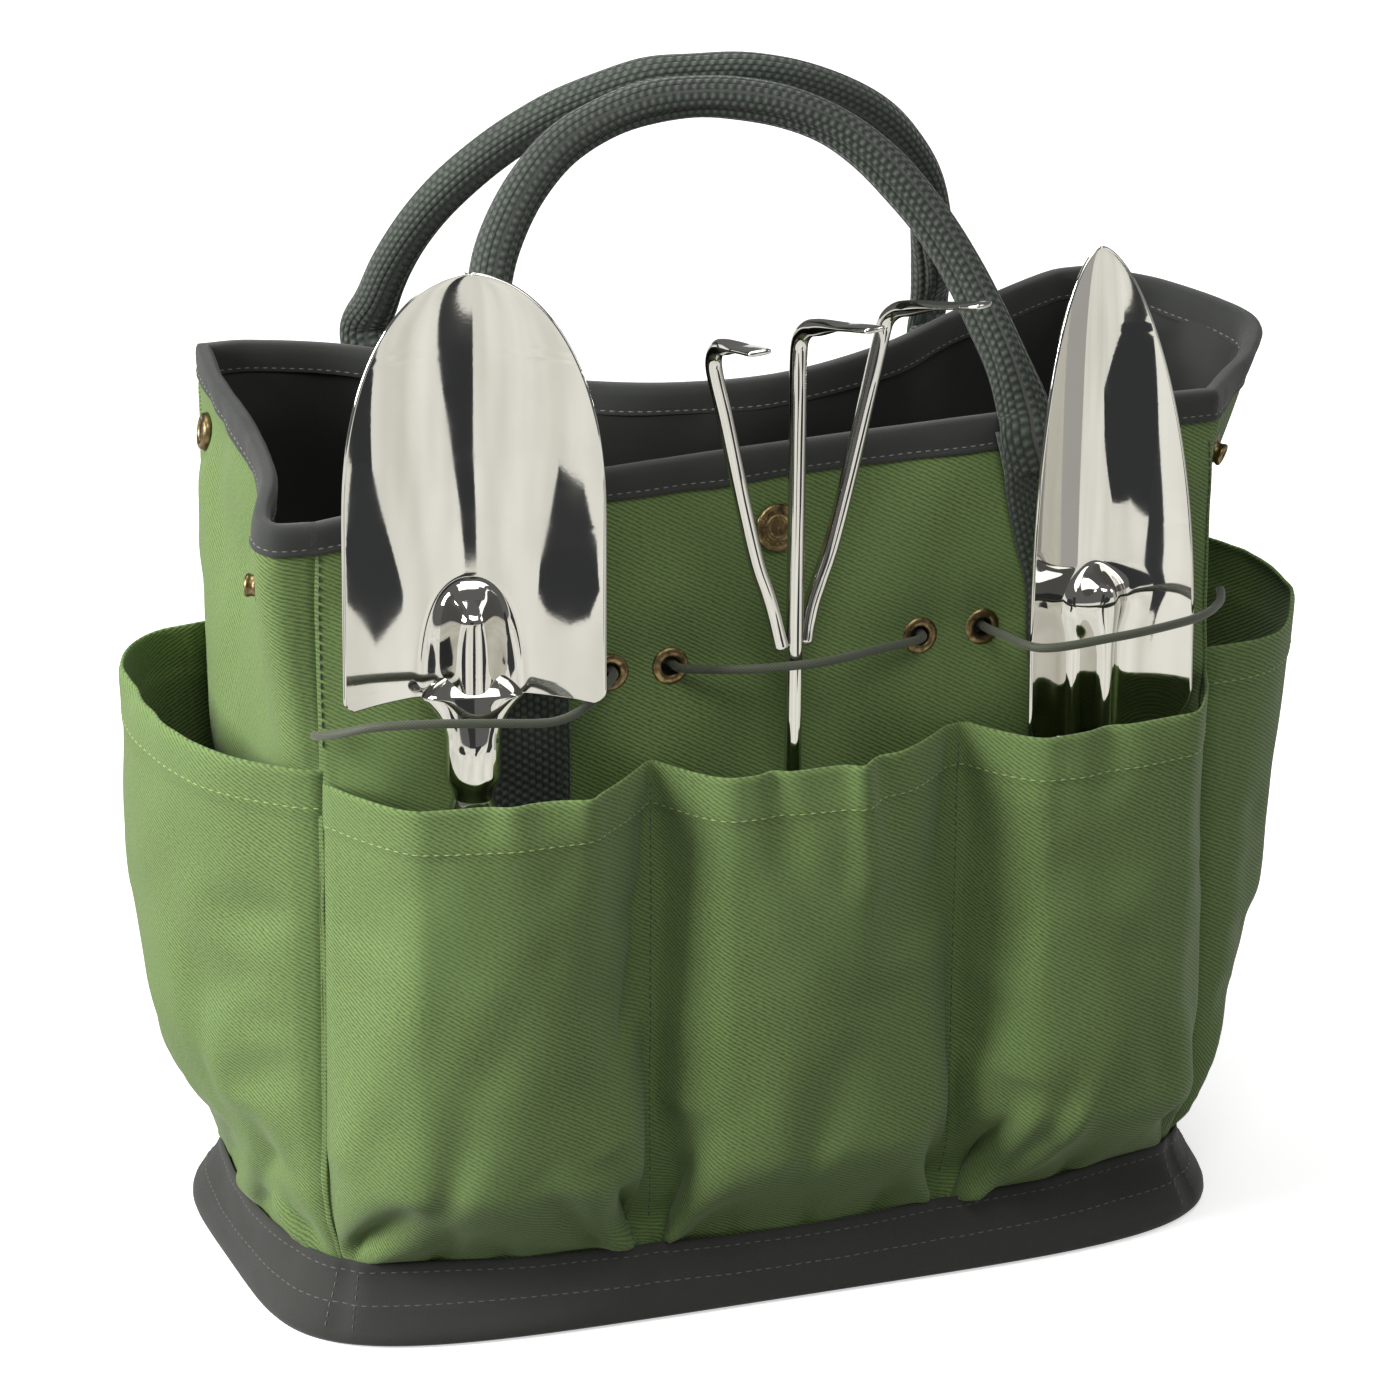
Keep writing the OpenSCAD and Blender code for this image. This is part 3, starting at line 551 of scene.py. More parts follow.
def steel_mat():
    g = Graph("mirror_steel")
    o = g.obj()
    soft = g.noise(o, 14, 1)
    spots = g.noise(o, 60, 5)
    scr = g.noise(o, 900, 2)
    n = g.bump(soft, 0.0009, 0.35)
    n = g.bump(scr, 0.000004, 0.5, n)
    base = g.mix(g.range(spots, 0.45, 0.8, 0, 0.3), (0.62, 0.61, 0.57, 1), (0.52, 0.51, 0.475, 1))
    return g.set(Base_Color=base, Metallic=1.0, Roughness=g.range(spots, 0.35, 0.75, 0.03, 0.075), Normal=n)


def brass_mat():
    g = Graph("antique_brass")
    o = g.obj()
    pat = g.noise(o, 420, 5, 0.6)
    fine = g.noise(o, 2500, 2)
    base = g.mix(g.range(pat, 0.38, 0.66, 0, 1), (0.30, 0.215, 0.10, 1), (0.055, 0.042, 0.024, 1))
    n = g.bump(g.math("ADD", pat, g.math("MULTIPLY", fine, 0.3)), 0.00005, 0.8)
    return g.set(Base_Color=base, Metallic=1.0, Roughness=g.range(pat, 0.35, 0.7, 0.26, 0.52), Normal=n)


def elastic_mat():
    g = Graph("elastic_braid")
    u, v = g.uv()
    a = g.wave(g.math("ADD", g.math("DIVIDE", u, 1.1), g.math("DIVIDE", v, 1.25)))
    b = g.wave(g.math("SUBTRACT", g.math("DIVIDE", u, 1.1), g.math("DIVIDE", v, 1.25)))
    h = g.math("MAXIMUM", a, b)
    base = g.mix(h, lin(28, 32, 22), lin(64, 70, 50))
    n = g.bump(h, 0.00012, 0.9)
    return g.set(Base_Color=base, Roughness=0.6, Normal=n, Sheen_Weight=0.2)


def wood_mat():
    g = Graph("turned_ash")
    n = g.nt.nodes.new("ShaderNodeSeparateXYZ")
    g.put(n.inputs[0], g.obj())
    x, y, z = n.outputs
    rough = g.noise(g.vec(x, y, g.math("MULTIPLY", z, 0.12)), 130, 5)
    ring = g.wave(g.math("ADD", g.math("MULTIPLY", x, 420), g.math("MULTIPLY", rough, 3.2)))
    pore = g.noise(g.vec(x, y, g.math("MULTIPLY", z, 0.03)), 1900, 2)
    base = g.mix(ring, lin(196, 152, 98), lin(158, 112, 66))
    base = g.mix(g.range(pore, 0.55, 0.75, 0, 0.6), base, lin(96, 62, 34))
    return g.set(Base_Color=base, Roughness=g.range(ring, 0, 1, 0.38, 0.5), Normal=g.bump(pore, 0.00006, 0.7), Coat_Weight=0.25, Coat_Roughness=0.25)


def board_mat():
    g = Graph("base_board_plastic")
    f = g.noise(g.obj(), 700, 4)
    base = g.mix(f, (0.012, 0.012, 0.013, 1), (0.03, 0.03, 0.032, 1))
    return g.set(Base_Color=base, Roughness=0.6, Normal=g.bump(f, 0.0001, 0.6))


def thread_mat(name, c):
    g = Graph(name)
    o = g.obj()
    f = g.noise(o, 2600, 2)
    base = g.mix(f, tuple(v * 0.7 for v in c[:3]) + (1,), tuple(v * 1.25 for v in c[:3]) + (1,))
    return g.set(Base_Color=base, Roughness=0.55, Normal=g.bump(f, 0.00008, 0.8), Sheen_Weight=0.3)


CANVAS = twill("green_canvas", lin(110, 137, 81), lin(27, 37, 18), tint=0.18)
TRIM = plain_weave("charcoal_trim", lin(50, 51, 47), lin(24, 25, 22), pitch=0.9, depth=0.00008)
BINDING = plain_weave("charcoal_binding", lin(54, 56, 52), lin(25, 26, 24), pitch=0.8, depth=0.00007)
LINING = plain_weave("black_lining", lin(36, 38, 34), lin(15, 16, 14), pitch=0.6, rough=0.62, depth=0.00004, sheen=0.1)
WEB = webbing_mat()
STEEL = steel_mat()
BRASS = brass_mat()
ELASTIC = elastic_mat()
WOOD = wood_mat()
BOARD = board_mat()
WELL = board_mat()
WELL.name = "socket_well_dark"
THREAD_G = thread_mat("thread_yellow_green", lin(130, 150, 78))
THREAD_D = thread_mat("thread_dark_green", lin(38, 52, 36))
THREAD_K = thread_mat("thread_grey", lin(104, 104, 98))
THREAD_B = thread_mat("thread_band_grey", lin(72, 72, 66))
THREAD_W = thread_mat("thread_webbing", lin(40, 52, 45))


# ------------------------------------------------------------------ shape of the bag
def flare(z):
    return 1 / (1 + np.square(np.maximum(0, z - 20) / 15))


def cx(z):
    return 150 - 7 * flare(z)


def cy(z):
    return 62 - 4 * flare(z)


def bf(z):
    return 3 + 9 * (1 - sm((z - 190) / 95)) + 8.5 * flare(z)


def bl(z):
    return 6 + 6 * flare(z)


def br(z):
    return 10 + 2 * flare(z) + 26 * np.clip((z - 120) / 165, 0, 1) ** 2


def pinch(x, z):
    return 52 * gauss((x - 28) / 80) * sm((z - 145) / 140) ** 1.1


def ring_xy(s, z):
    s, z = np.broadcast_arrays(np.asarray(s, float), np.asarray(z, float))
    k = np.clip(np.floor(s), 0, 3)
    f = s - k
    e = 2 * f - 1
    X, Y = cx(z), cy(z)
    b = 1 - e * e
    x = np.select([k == 0, k == 1, k == 2], [X * e, X + br(z) * b, -X * e], -X - bl(z) * b)
    y = np.select([k == 0, k == 1, k == 2], [-(Y + bf(z) * b), Y * e, Y + bf(z) * b - pinch(-X * e, z)], -Y * e)
    return x, y


RIM = {
    0: [(0, -150, -63, 275), (.1, -121, -64.5, 278.5), (.25, -76, -65.5, 282), (.5, -4, -66.5, 285), (.75, 74, -66.5, 286.5), (.92, 124, -65, 286.3), (1, 149, -62.5, 285)],
    1: [(0, 149, -62.5, 285), (.18, 163, -44, 283.8), (.38, 179, -25, 283.8), (.6, 190, 1, 286), (.83, 174, 36, 288.5), (1, 154, 54, 290)],
    2: [(0, 154, 54, 290), (.05, 140, 54, 289.5), (.17, 101, 37, 286), (.28, 68, 21, 282.5), (.4, 30, 12, 280), (.51, -3, 13, 280), (.61, -32, 21, 281), (.7, -59, 36, 283), (.83, -99, 59, 288), (.94, -133, 64, 292), (1, -150, 62.5, 293)],
    3: [(0, -150, 62.5, 293), (.2, -153, 38, 290.5), (.42, -152, 11, 286), (.5, -152, 0, 283.5), (.72, -156, -28, 280), (.88, -165, -50, 276), (.955, -163, -60, 275), (1, -150, -63, 275)],
}


def rim(s):
    s = np.asarray(s, float)
    out = np.zeros(s.shape + (3,))
    k = np.clip(np.floor(s), 0, 3)
    for p in range(4):
        m = k == p
        if m.any():
            R = np.array(RIM[p])
            out[m] = catmull(R[:, 1:], R[:, 0], s[m] - p)
    return out


def body_pt(s, w):
    """A point of the outer canvas: s 0 to 4 round the bag, w 0 to 1 up it."""
    s, w = np.broadcast_arrays(np.asarray(s, float), np.asarray(w, float))
    zz = 21 + 264 * w
    x, y = ring_xy(s, zz)
    xr, yr = ring_xy(s, np.full(s.shape, 285.0))
    R = rim(s)
    g = sm((zz - 160) / 125)
    P = np.stack([x + (R[..., 0] - xr) * g, y + (R[..., 1] - yr) * g, 21 + (R[..., 2] - 21) * w], -1)
    return P


# ------------------------------------------------------------------ cloth
SIM = []


def cloth_relax(P, pin, wrap=False, slack=0.02, frames=16, bend=1.2, grav=0.15, cap=5.0, push=0.0, mass=0.3):
    """Let a grid of cloth find its folds. pin is 0 to 1 per point; cap limits how far a point may go, in mm."""
    import time
    t0 = time.time()
    n, m = P.shape[:2]
    K = 0.01                                     # 1 mm is 1 cm in the simulation
    me = bpy.data.meshes.new("sim")
    me.from_pydata([tuple(v) for v in (P.reshape(-1, 3) * K)], [], [tuple(int(i) for i in f) for f in grid_faces(n, m, 0, wrap)])
    o = bpy.data.objects.new("sim", me)
    scene.collection.objects.link(o)
    vg = o.vertex_groups.new(name="pin")
    pw = np.clip(pin.ravel(), 0, 1)
    q = np.round(pw, 2)
    for val in np.unique(q):
        if val > 0:
            vg.add([int(i) for i in np.nonzero(q == val)[0]], float(val), "REPLACE")
    c = o.modifiers.new("cloth", "CLOTH")
    st = c.settings
    st.quality = 6
    st.mass = mass
    st.tension_stiffness = 25
    st.compression_stiffness = 25
    st.shear_stiffness = 8
    st.bending_stiffness = bend
    st.tension_damping = 12
    st.compression_damping = 12
    st.shear_damping = 12
    st.bending_damping = 1
    st.air_damping = 6
    st.vertex_group_mass = "pin"
    st.pin_stiffness = 3.0
    st.shrink_min = -slack
    st.shrink_max = -slack
    st.effector_weights.gravity = grav
    if push:
        st.use_pressure = True
        st.uniform_pressure_force = push
    c.collision_settings.use_collision = False
    c.collision_settings.use_self_collision = False
    c.point_cache.frame_start = 1
    c.point_cache.frame_end = frames
    for f in range(1, frames + 1):
        scene.frame_set(f)
    dg = bpy.context.evaluated_depsgraph_get()
    ev = o.evaluated_get(dg)
    co = np.zeros(n * m * 3, np.float32)
    ev.data.vertices.foreach_get("co", co)
    Q = co.reshape(n, m, 3).astype(float) / K
    bpy.data.objects.remove(o)
    bpy.data.meshes.remove(me)
    scene.frame_set(1)
    D = Q - P
    L = np.linalg.norm(D, axis=2, keepdims=True)
    D = D * np.minimum(1, cap / np.maximum(L, 1e-9)) if not np.isnan(D).any() else D * 0
    SIM.append((n * m, round(time.time() - t0, 1), round(float(L.max()), 1)))
    return P + blur(D, 1, wrap) * (1 - np.clip(pin, 0, 1)[..., None] ** 4)


def up_grid(P, n2, m2, wrap=False):
    n, m = P.shape[:2]
    A = catmull(P.reshape(n, -1), np.linspace(0, 1, n), np.linspace(0, 1, n2)).reshape(n2, m, 3)
    B = A.transpose(1, 0, 2)
    if wrap:
        B = np.concatenate([B[-2:], B, B[:3]])
        t = (np.arange(m2) / m2 * m) + 2
        C = catmull(B.reshape(m + 5, -1), np.arange(m + 5, dtype=float), t).reshape(m2, n2, 3)
    else:
        C = catmull(B.reshape(m, -1), np.linspace(0, 1, m), np.linspace(0, 1, m2)).reshape(m2, n2, 3)
    return C.transpose(1, 0, 2)


def crease(U, Vv, p0, p1, depth, width, fade=0.7):
    """A soft valley from p0 (deep) to p1 (gone) on flat coordinates U, V."""
    p0, p1 = np.array(p0, float), np.array(p1, float)
    d = p1 - p0
    L = np.linalg.norm(d)
    d = d / L
    t = ((U - p0[0]) * d[0] + (Vv - p0[1]) * d[1]) / L
    e = (U - p0[0]) * -d[1] + (Vv - p0[1]) * d[0]
    wd = width * (0.45 + 0.9 * np.clip(t, 0, 1))
    a = np.where(t < 0, gauss(t * L / width), np.clip(1 - t, 0, 1) ** fade)
    return depth * a * gauss(e / wd)


# ------------------------------------------------------------------ elastic cord (made first, on the CAD route)
def cad_body(s, z):
    s = np.asarray(s, float)
    zt = np.select([s < 1, s < 2, s < 3],
                   [285 - 9 * (1 - sm(s / .35)), 285 + 5 * (s - 1), 290 + 3 * (s - 2) - 11 * gauss((150 * (5 - 2 * s) - 28) / 70) * sm((s - 2) / .25)], 293 - 17 * (s - 3))
    w = (z - 21) / (zt - 21)
    x, y = ring_xy(s, 21 + 264 * w)
    return np.stack(np.broadcast_arrays(x, y, z), -1)


def ring_place(x):
    return (x / cx(200.0) + 1) / 2


EY = [cad_body(ring_place(x), 220.0) for x in (-57, -37, 46, 67)]


def ey(k, d):
    return list(EY[k] + np.array(d))


CORD = np.array([
    [-152, -64, 208], [-153, -72, 211], [-149, -82, 215], [-141, -90, 219], [-124, -95.5, 220], [-104, -96.5, 218], [-84, -95, 215.5], [-71, -89, 217],
    ey(0, (-4.5, -9, -0.6)), ey(0, (-0.6, -4, 0)), ey(0, (0, 0, 0)), ey(0, (0.6, 4.4, 0)), ey(0, (4.5, 9, 0)), ey(0, (10, 10.6, 0)),
    ey(1, (-4.5, 9, 0)), ey(1, (-0.6, 4.4, 0)), ey(1, (0, 0, 0)), ey(1, (0.6, -4, 0)), ey(1, (5, -8.5, 0.6)),
    [-20, -88.5, 222.3], [-4, -93, 223.2], [9, -91.5, 222.8], [28, -84, 221.6],
    ey(2, (-5, -8, 0.6)), ey(2, (-0.6, -4, 0)), ey(2, (0, 0, 0)), ey(2, (0.6, 4.4, 0)), ey(2, (4.5, 9, 0)), ey(2, (10, 10.6, 0)),
    ey(3, (-4.5, 9, 0)), ey(3, (-0.6, 4.4, 0)), ey(3, (0, 0, 0)), ey(3, (0.6, -4, 0)), ey(3, (2.6, -13, 0.6)),
    [75.5, -101, 222], [99, -103, 223.4], [119, -97.5, 222.6], [136, -87.5, 220.6], [147, -76, 219.6], [151, -68, 220], [151.5, -64, 221]])
cord_line, cord_len = smooth_path(CORD, 420)
cord_line = cord_line[3:-3]
V, F, U = tube_mesh(cord_line, 1.42, 1.42, (0, 0.02, 1), sides=14, cap=True, cap_round=0.4)
elastic = to_mesh("elastic_braid_cord", V, F, ELASTIC, U, slot="elastic", replaces=["elastic_cord"])
cord_len = float(np.linalg.norm(np.diff(cord_line, axis=0), axis=1).sum())

# ------------------------------------------------------------------ the canvas body
COLS, ROWS = 92, 104
SF = np.arange(4 * COLS + 1) / COLS
WF = np.linspace(0, 1, ROWS)


def make_skin():
    nl, ml = 42, 112
    S = np.arange(ml) / ml * 4
    Wl = np.linspace(0, 1, nl)
    P = body_pt(S[None, :], Wl[:, None])
    pin = np.full((nl, ml), 0.03)
    pin = pin + 0.5 * gauss((S - np.round(S)) / 0.05)[None, :]
    for c in (0.2, 0.8, 2.19, 2.81):
        pin = pin + 0.10 * gauss((S - c) / 0.05)[None, :]
    pin[Wl < 0.06] = 1
    pin[-1] = 1
    pin[-2] = 0.4
    Q = cloth_relax(P, np.minimum(pin, 1), wrap=True, slack=0.03, frames=18, bend=1.5, cap=5)
    D = up_grid(Q - P, ROWS, 4 * COLS, True)
    D = np.concatenate([D, D[:, :1]], 1)
    B = body_pt(SF[None, :], WF[:, None])
    N = np.stack([grid_normals(B[:, k * COLS:(k + 1) * COLS + 1]) for k in range(4)])
    N = np.concatenate([N[0], N[1][:, 1:], N[2][:, 1:], N[3][:, 1:]], 1)
    corner = np.abs(SF - np.round(SF))[None, :]
    edge = sm(WF / 0.1)[:, None] * sm((1 - WF) / 0.05)[:, None] * (1 - 0.85 * gauss(corner / 0.05))
    eye = np.zeros(B.shape[:2])
    for e in EY:
        eye = np.maximum(eye, gauss(np.linalg.norm(B - e, axis=2) / 13))
    calm = 1 - 0.85 * eye
    R = B.shape[:2]
    small = 1.1 * bumps(R, 20, 18, 3) + 0.4 * bumps(R, 8, 7, 4)
    side = np.where((SF > 1) & (SF < 2) | (SF > 3), 1.6, 1.0)[None, :]
    seam = -1.1 * np.exp(-(corner / 0.018) ** 2) * sm((1 - WF) / 0.05)[:, None]
    return B + D * calm[..., None] + N * (small * edge * calm * side + seam)[..., None]


SKIN = make_skin()
SKIN_N = np.concatenate([grid_normals(SKIN[:, k * COLS:(k + 1) * COLS + 1])[:, (0 if k == 0 else 1):] for k in range(4)], 1)


def bilinear(A, i, j):
    i = np.clip(i, 0, A.shape[0] - 1.0001)
    j = np.clip(j, 0, A.shape[1] - 1.0001)
    i0, j0 = np.floor(i).astype(int), np.floor(j).astype(int)
    a, b = (i - i0)[..., None], (j - j0)[..., None]
    return (A[i0, j0] * (1 - a) + A[i0 + 1, j0] * a) * (1 - b) + (A[i0, j0 + 1] * (1 - a) + A[i0 + 1, j0 + 1] * a) * b


def on_skin(s, z, o=0.0):
    """Point and outward normal of the canvas at ring place s and height z."""
    s, z = np.broadcast_arrays(np.asarray(s, float), np.asarray(z, float))
    w = (z - 21) / (rim(s)[..., 2] - 21)
    p = bilinear(SKIN, w * (ROWS - 1), s * COLS)
    n = bilinear(SKIN_N, w * (ROWS - 1), s * COLS)
    n = n / np.linalg.norm(n, axis=-1, keepdims=True)
    return p + n * np.asarray(o)[..., None] if np.ndim(o) else p + n * o, n


def cut_holes(obj, spots, r):
    """Punch round holes through a cloth piece with a boolean, and keep the result as its mesh."""
    parts = []
    for p, n in spots:
        parts.append(lathe([(0, -9), (r, -9), (r, 9), (0, 9)], 24, p, n))
    V, F, _ = join(parts)
    me = bpy.data.meshes.new("punch")
    me.from_pydata([tuple(v) for v in V * MM], [], F)
    me.validate()
    bm = bmesh.new()
    bm.from_mesh(me)
    bmesh.ops.remove_doubles(bm, verts=bm.verts, dist=1e-6)
    bmesh.ops.recalc_face_normals(bm, faces=bm.faces)
    bm.to_mesh(me)
    bm.free()
    c = bpy.data.objects.new("punch", me)
    scene.collection.objects.link(c)
    m = obj.modifiers.new("holes", "BOOLEAN")
    m.operation = "DIFFERENCE"
    m.solver = "EXACT"
    m.object = c
    dg = bpy.context.evaluated_depsgraph_get()
    new = bpy.data.meshes.new_from_object(obj.evaluated_get(dg))
    obj.modifiers.clear()
    old = obj.data
    obj.data = new
    bpy.data.meshes.remove(old)
    bpy.data.objects.remove(c)
    bpy.data.meshes.remove(me)
    obj.data.polygons.foreach_set("use_smooth", np.ones(len(obj.data.polygons), bool))


PANELS = ["front", "right_side", "back", "left_side"]
eye_spots = [on_skin(ring_place(x), 220.0) for x in (-57, -37, 46, 67)]
for k, nm in enumerate(PANELS):
    G = SKIN[:, k * COLS:(k + 1) * COLS + 1].copy()
    o = shell(nm + "_canvas", G, 1.4, CANVAS, slot="canvas", replaces=[nm + "_panel"])
    if k == 0:
        cut_holes(o, eye_spots, 3.3)


# ------------------------------------------------------------------ lining
def make_lining():
    n = 96
    z0 = np.array([6.4, 12.0, 17.0])
    S = SF[:-1]
    W = np.concatenate([(z0 - 21) / 264, np.linspace(0, 0.997, n)])
    low = body_pt(S[None, :], W[:3, None])
    i = np.broadcast_to((W[3:, None] * (ROWS - 1)), (n, len(S)))
    P = bilinear(SKIN, i, np.broadcast_to(S[None, :] * COLS, i.shape))
    P = np.concatenate([low, P])
    N = grid_normals(P, True)
    N = blur(N, 2, True)
    N = N / np.linalg.norm(N, axis=2, keepdims=True)
    R = P.shape[:2]
    wr = 0.55 + 0.45 * bumps(R, 16, 12, 21, True) + 0.25 * bumps(R, 6, 5, 22, True)
    wr = np.clip(wr, 0, 2.2) * 2.6
    for e in EY:
        wr = wr * (1 - 0.9 * gauss(np.linalg.norm(P - e, axis=2) / 12))
    wr = wr * sm((1 - W) / 0.05)[:, None] * sm(W / 0.08)[:, None]
    return P - N * (2.0 + wr)[..., None]


LIN = make_lining()
lining = shell("nylon_lining", LIN, 0.8, LINING, wrap=True, slot="lining", replaces=["lining"])
cut_holes(lining, eye_spots, 3.4)


def oval(a, b, n, k):
    t = np.linspace(0, 2 * np.pi, 4000, endpoint=False)
    c, s = np.cos(t), np.sin(t)
    P = np.stack([a * np.sign(c) * np.abs(c) ** (2 / n), b * np.sign(s) * np.abs(s) ** (2 / n)], 1)
    Q = np.concatenate([P, P[:1]])
    L = np.concatenate([[0], np.cumsum(np.linalg.norm(np.diff(Q, axis=0), axis=1))])
    u = np.arange(k) / k * L[-1]
    return np.stack([np.interp(u, L, Q[:, j]) for j in range(2)], 1), u, L[-1]


def floor_piece():
    """The lining's own floor over the board: a soft sheet with a few low waves."""
    O, u, _ = oval(140, 58, 6, 200)
    rad = np.linspace(0.02, 1, 40)
    z = 5.5 + 0.35 * bumps((40, 200), 10, 22, 31, True) * sm((1 - rad) / 0.1)[:, None] * sm(rad / 0.3)[:, None]
    P = np.stack([O[None, :, 0] * rad[:, None], O[None, :, 1] * rad[:, None], z], -1)
    P = P[::-1]
    n, m = P.shape[:2]
    B = P.copy()
    B[..., 2] = 4.6
    V = np.concatenate([P.reshape(-1, 3), B.reshape(-1, 3), [[0, 0, 5.5], [0, 0, 4.6]]])
    F = list(map(tuple, grid_faces(n, m, 0, True))) + list(map(tuple, grid_faces(n, m, n * m, True, True)))
    for j in range(m):
        k = (j + 1) % m
        F.append((j, n * m + j, n * m + k, k))
        F.append(((n - 1) * m + j, (n - 1) * m + k, 2 * n * m))
        F.append((n * m + (n - 1) * m + k, n * m + (n - 1) * m + j, 2 * n * m + 1))
    return to_mesh("lining_floor", V, F, LINING, V[:, :2], slot="lining")


floor_piece()


# ------------------------------------------------------------------ base band
def make_band():
    K = 560
    O, u, per = oval(164, 86, 4.6, K)
    T = np.roll(O, -1, 0) - np.roll(O, 1, 0)
    T /= np.linalg.norm(T, axis=1, keepdims=True)
    N = np.stack([T[:, 1], -T[:, 0]], 1)
    prof = [(9, 0.0), (5, 0.0), (3.0, 0.12), (1.7, 0.55), (0.8, 1.5), (0.3, 3.0), (0.05, 5.0)]
    prof += [(0.0, z) for z in np.linspace(7, 22.5, 14)]
    prof += [(0.05, 24.2), (0.25, 25.3), (0.7, 25.9), (1.2, 25.7), (1.55, 24.8), (1.6, 22), (1.6, 14), (1.6, 6), (1.8, 3.2), (2.6, 2.0), (6, 1.6)]
    prof = np.array(prof)
    R = (len(prof), K)
    corner = np.zeros(K)
    for qx, qy in ((-150, -71), (150, -71), (150, 71), (-150, 71)):
        d = np.linalg.norm(O - np.array([qx, qy]), axis=1)
        corner = np.maximum(corner, gauss(d / 2.0 * 0 + (d - d.min()) / 2.2))
    out = 0.55 * bumps(R, 9, 24, 41, True) + 0.28 * bumps(R, 5, 8, 42, True)
    live = sm((prof[:, 1] - 1.5) / 5)[:, None] * (1 - 0.4 * sm((prof[:, 1] - 20) / 5))[:, None]
    out = out * live - 0.9 * corner[None, :] * sm((prof[:, 1] - 2) / 4)[:, None]
    out = out + 0.35 * np.exp(-((prof[:, 1] - 12.2) / 1.2) ** 2)[:, None] * live
    dz = 0.5 * bumps((1, K), 1, 30, 43, True) * sm((prof[:, 1] - 18) / 6)[:, None]
    P = np.zeros(R + (3,))
    edge = np.concatenate([A[int(np.argmin(np.abs(A[:, A.shape[1] // 2, 2] - 23)))][:, :2] for A in (FP, RP, BP, LP)])
    E2 = np.roll(edge, -1, 0)
    L = np.maximum(np.linalg.norm(E2 - edge, axis=1), 1e-9)
    gap = np.zeros(K)
    for j in range(K):
        h = np.clip(((O[j] - edge) * (E2 - edge)).sum(1) / L ** 2, 0, 1)
        gap[j] = np.linalg.norm(O[j] - edge - (E2 - edge) * h[:, None], axis=1).min()
    lean = blur(np.clip(gap - 2.3, 0, 12)[None], 3, True, axes=(1,))[0]
    tuck = sm((prof[:, 1] - 1.5) / 21.5)[:, None]
    P[..., :2] = O[None] - N[None] * (prof[:, 0][:, None] - out + lean[None] * tuck)[..., None]
    P[..., 2] = np.maximum(0, prof[:, 1][:, None] + dz)
    V = P.reshape(-1, 3)
    vv = np.concatenate([[0], np.cumsum(np.linalg.norm(np.diff(prof, axis=0), axis=1))])
    uv = np.stack(np.broadcast_arrays(u[None, :], vv[:, None]), -1).reshape(-1, 2)
    n = len(prof)
    F = list(map(tuple, grid_faces(n, K, 0, True)))
    V = np.concatenate([V, [[0, 0, 0], [0, 0, 1.6]]])
    uv = np.concatenate([uv, [[0, 0], [0, 0]]])
    for j in range(K):
        k = (j + 1) % K
        F.append((k, j, n * K))
        F.append(((n - 1) * K + j, (n - 1) * K + k, n * K + 1))
    to_mesh("charcoal_base_band", V, F, TRIM, uv, slot="trim_fabric", replaces=["base_cover"])
    N3 = np.concatenate([N, np.zeros((K, 1))], 1)
    for zz, st in ((22.6, 0.0), (13.4, 1.3)):
        i = int(np.argmin(np.abs(prof[:, 1] - zz)))
        L = np.concatenate([P[i], P[i][:1]])
        stitches("band_stitch_row_%d" % round(zz), L, np.concatenate([N3, N3[:1]]), THREAD_B, 3.4, 2.4, 0.42, 0.05, slot="trim_fabric", start=st)
    k = 0
    for qx, qy in ((-150, -71), (150, -71), (150, 71), (-150, 71)):
        j = int(np.argmin(np.linalg.norm(O - np.array([qx, qy]), axis=1)))
        for side in (-3, 3):
            L = P[6:21, (j + side) % K]
            stitches("band_corner_stitches_%d" % k, L, np.repeat(N3[j][None], len(L), 0), THREAD_D if k % 2 else THREAD_B, 3.2, 2.2, 0.5, 0.08, slot="trim_fabric")
            k += 1
    return P


